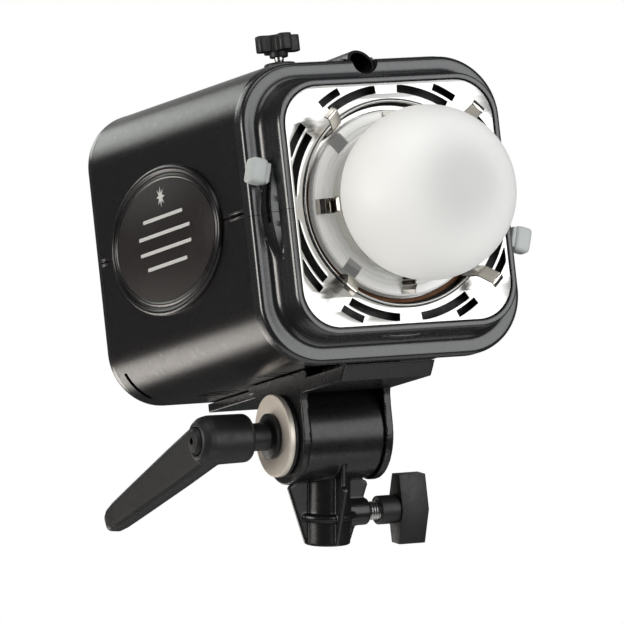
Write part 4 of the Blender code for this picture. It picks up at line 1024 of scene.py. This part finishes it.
RAIL_TOP, RAIL_BOTTOM, NOSE_BOTTOM = -71.4, -75.9, -82.6
LOCK_Z = 15.2  # the stand lock's axis above the socket's mouth


def make_bracket():
    """The rail with its saddle, forward block and two ears, with softened edges."""
    tilt = LAMP.inverted() @ TILT_AXIS
    rail = box((-15, 28, RAIL_BOTTOM), (15, 194, RAIL_TOP))
    saddle = box((-24.9, tilt.y - 34, RAIL_BOTTOM + 0.1), (24.9, tilt.y + 34, RAIL_TOP - 0.05))
    joint_z, nose_back = RAIL_BOTTOM + 0.6, tilt.y - 26
    nose = [(9, joint_z), (15.5, NOSE_BOTTOM), (nose_back, NOSE_BOTTOM), (nose_back, joint_z)]
    shapes = [saddle, flat([nose], 49.8, "YZ", 0)]
    under = arc(25, 183.6, 356.4, 40, (tilt.y, tilt.z))
    rear = [(tilt.y + 25.6, tilt.z + 14), (tilt.y + 29, RAIL_BOTTOM + 1), (tilt.y + 33, RAIL_TOP - 0.3)]
    front = [(2 * tilt.y - y, z) for y, z in reversed(rear)]
    shapes += [flat([under + rear + front], 4, "YZ", x) for x in (22.9, -22.9)]
    mesh = softened(combine(rail, shapes), 0.55)
    put("cast_bracket", mesh, CAST, "tilt_bracket", angle=60)


def make_adapter():
    """The cast sleeve, barrel, webs and boss, in millimetres from the socket's mouth."""
    axis_z = TILT_AXIS.z / MM
    sleeve = lathe(eased([(0, 0), (11.6, 0), (11.6, axis_z - 8), (0, axis_z - 8)], 0.6), "Z")
    barrel = lathe(eased([(0, -20.6), (23.5, -20.6), (23.5, 20.6), (0, 20.6)], 0.8), "X", (0, 0, axis_z), 96)
    collar = lathe(eased([(0, 13), (14.2, 13), (14.2, 16), (0, 16)], 0.9), "Z")
    half = [(12.6, 1), (22, 29), (21.4, 30.8), (19.4, 31.4), (19.4, 44)]
    web = half + [(-u, v) for u, v in reversed(half)]
    boss = lathe(eased([(0, 4), (6.9, 4), (6.9, 21.6), (0, 21.6)], 1.2), "X", (0, 0, LOCK_Z))
    shapes = [barrel, collar, flat([web], 2.9, "XZ", 0), flat([web], 2.5, "YZ", 0), boss]
    bores = [rod(8.1, -5, 38, "Z"), rod(5.1, 0, 30, "X", (0, 0, LOCK_Z), 48)]
    mesh = softened(combine(sleeve, shapes, bores))
    put("cast_adapter", mesh, CAST, "stand_adapter", "adapter", SOCKET, 60)


def threaded(root, crest, start, end, pitch=1.25):
    """Profile points of a thread's rings, from start to end along the axis."""
    count = int(abs(end - start) / pitch)
    step = (end - start) / count
    points = []
    for turn in range(count):
        points += [(crest, start + step * turn), (root, start + step * (turn + 0.5))]
    return points


def make_stand_lock():
    stud = [(0, 8.6), (3.6, 8.6)] + threaded(4.25, 4.75, 9.8, 31) + [(4.75, 31), (4.75, 40), (0, 40)]
    put("lock_screw", lathe(stud, "X", steps=48), STEEL, "lock_stud", "stand_lock", STAND_LOCK, 20)
    outline = [(4.1, 17.6), (-4.1, 17.6), (-8.6, 0), (-4.1, -17.6), (4.1, -17.6), (8.6, 0)]
    paddle = flat([outline], 15, "YZ", 45.5, 0.45)
    hub = lathe(eased([(4.9, 27.7), (7.3, 27.7), (7.3, 38.6), (4.9, 38.6)], 0.5), "X")
    put("lock_paddle", merged([paddle, hub]), TEXTURED, "lock_knob", "stand_lock", STAND_LOCK, 30)


def make_pivot():
    washer = eased([(4.4, -27.3), (20.5, -27.3), (20.8, -27.8), (20.8, -30), (20.5, -30.5), (4.4, -30.5)])
    put("nickel_washer", lathe(washer, "X", steps=128), WASHER, "pivot_washer", "head", PIVOT)
    disc = eased([(4.4, -25.2), (20.4, -25.2), (20.4, -27), (4.4, -27)])
    put("friction_disc", lathe(disc, "X", steps=96), DARK, "friction_washer", "head", PIVOT)
    bolt = [flat([circle(9.46, 6)], 5.4, "YZ", 28, 0.5), rod(4, -47, 26, "X", steps=48)]
    put("hex_bolt", merged(bolt), STEEL, "pivot_bolt", "head", PIVOT)


def make_lever():
    insert = [
        (4.3, -30.8), (11.4, -30.8), (11.4, -33.2), (7, -34.2), (7, -46), (6.2, -46.6), (6.2, -60),
        (3.3, -60), (3.3, -52), (0, -52), (0, -48), (4.3, -48),
    ]
    insert = lathe(eased(insert, 0.35), "X")
    put("ratchet_insert", insert, TEXTURED, "lever_insert", "lever_core", PIVOT)
    head = eased([(0, -55), (3, -55), (3, -71.6), (6.8, -71.6), (6.8, -73), (5.6, -74.8), (0, -75.4)])
    screw = combine(lathe(head, "X"), cut=[flat([circle(1.9, 6)], 4, "YZ", -75)])
    put("ratchet_screw", screw, TEXTURED, "lever_screw", "lever_core", PIVOT)
    hub = [(0, -44.6), (11, -44.6), (12.2, -46.4), (12.5, -66), (11.6, -70), (9.2, -73), (0, -73)]
    hub = lathe(eased(hub, 0.8), "X")
    bores = ((7.3, -90, -66), (3.5, -70, -50), (6.6, -61, -46), (7.5, -47, -40))
    bores = [rod(radius, far, near, "X", steps=48) for radius, far, near in bores]
    mesh = softened(combine(hub, [lever_arm()], bores))
    put("ratchet_grip", mesh, TEXTURED, "lever_handle", "lever_grip", PIVOT, 60)


def lever_arm():
    """A tapering rounded bar from the hub to its tip, leaning outwards."""
    root, tip = Vector((-64.5, 1.5, -1)), Vector((-83, 75.5, -49.2))
    along = (tip - root).normalized()
    across = along.cross(ACROSS).normalized()
    thick = across.cross(along).normalized()
    loops = []
    # share of the way to the tip, half width, half depth
    stations = (
        (0, 12.2, 5.2), (0.3, 11, 5), (0.7, 8.8, 4.7), (0.93, 7.4, 4.6), (1, 6.4, 4.2), (1.04, 4.6, 3.2),
        (1.06, 2.2, 1.8),
    )
    for share, wide, deep in stations:
        middle = root.lerp(tip, share)
        outline = rounded(wide, deep, min(wide, deep) * 0.72, 10)
        loops.append([middle + across * u + thick * v for u, v in outline])
    return loft(loops)


# CAD nodes that stay as they are get their materials

def finish_cad_nodes():
    materials = {
        STEEL: "lock_ring ring_return_spring sync_jack",
        BOARD: "main_board control_board",
        SLEEVE: "capacitor_left capacitor_right",
        ALUMINIUM: "heat_sink",
        WINDING: "trigger_transformer",
        DARK: "fan_frame fan_rotor mains_inlet power_rocker",
    }
    for mat, names in materials.items():
        for name in names.split():
            data = NODES[name].data
            data.materials.clear()
            data.materials.append(mat)


add_stage()
make_housing()
make_seam_beads()
make_badges()
make_bezel()
make_reflector()
make_chassis()
make_glass()
make_claws()
make_clips()
make_caps()
make_umbrella_holder()
make_back()
make_bracket()
make_adapter()
make_stand_lock()
make_pivot()
make_lever()
finish_cad_nodes()
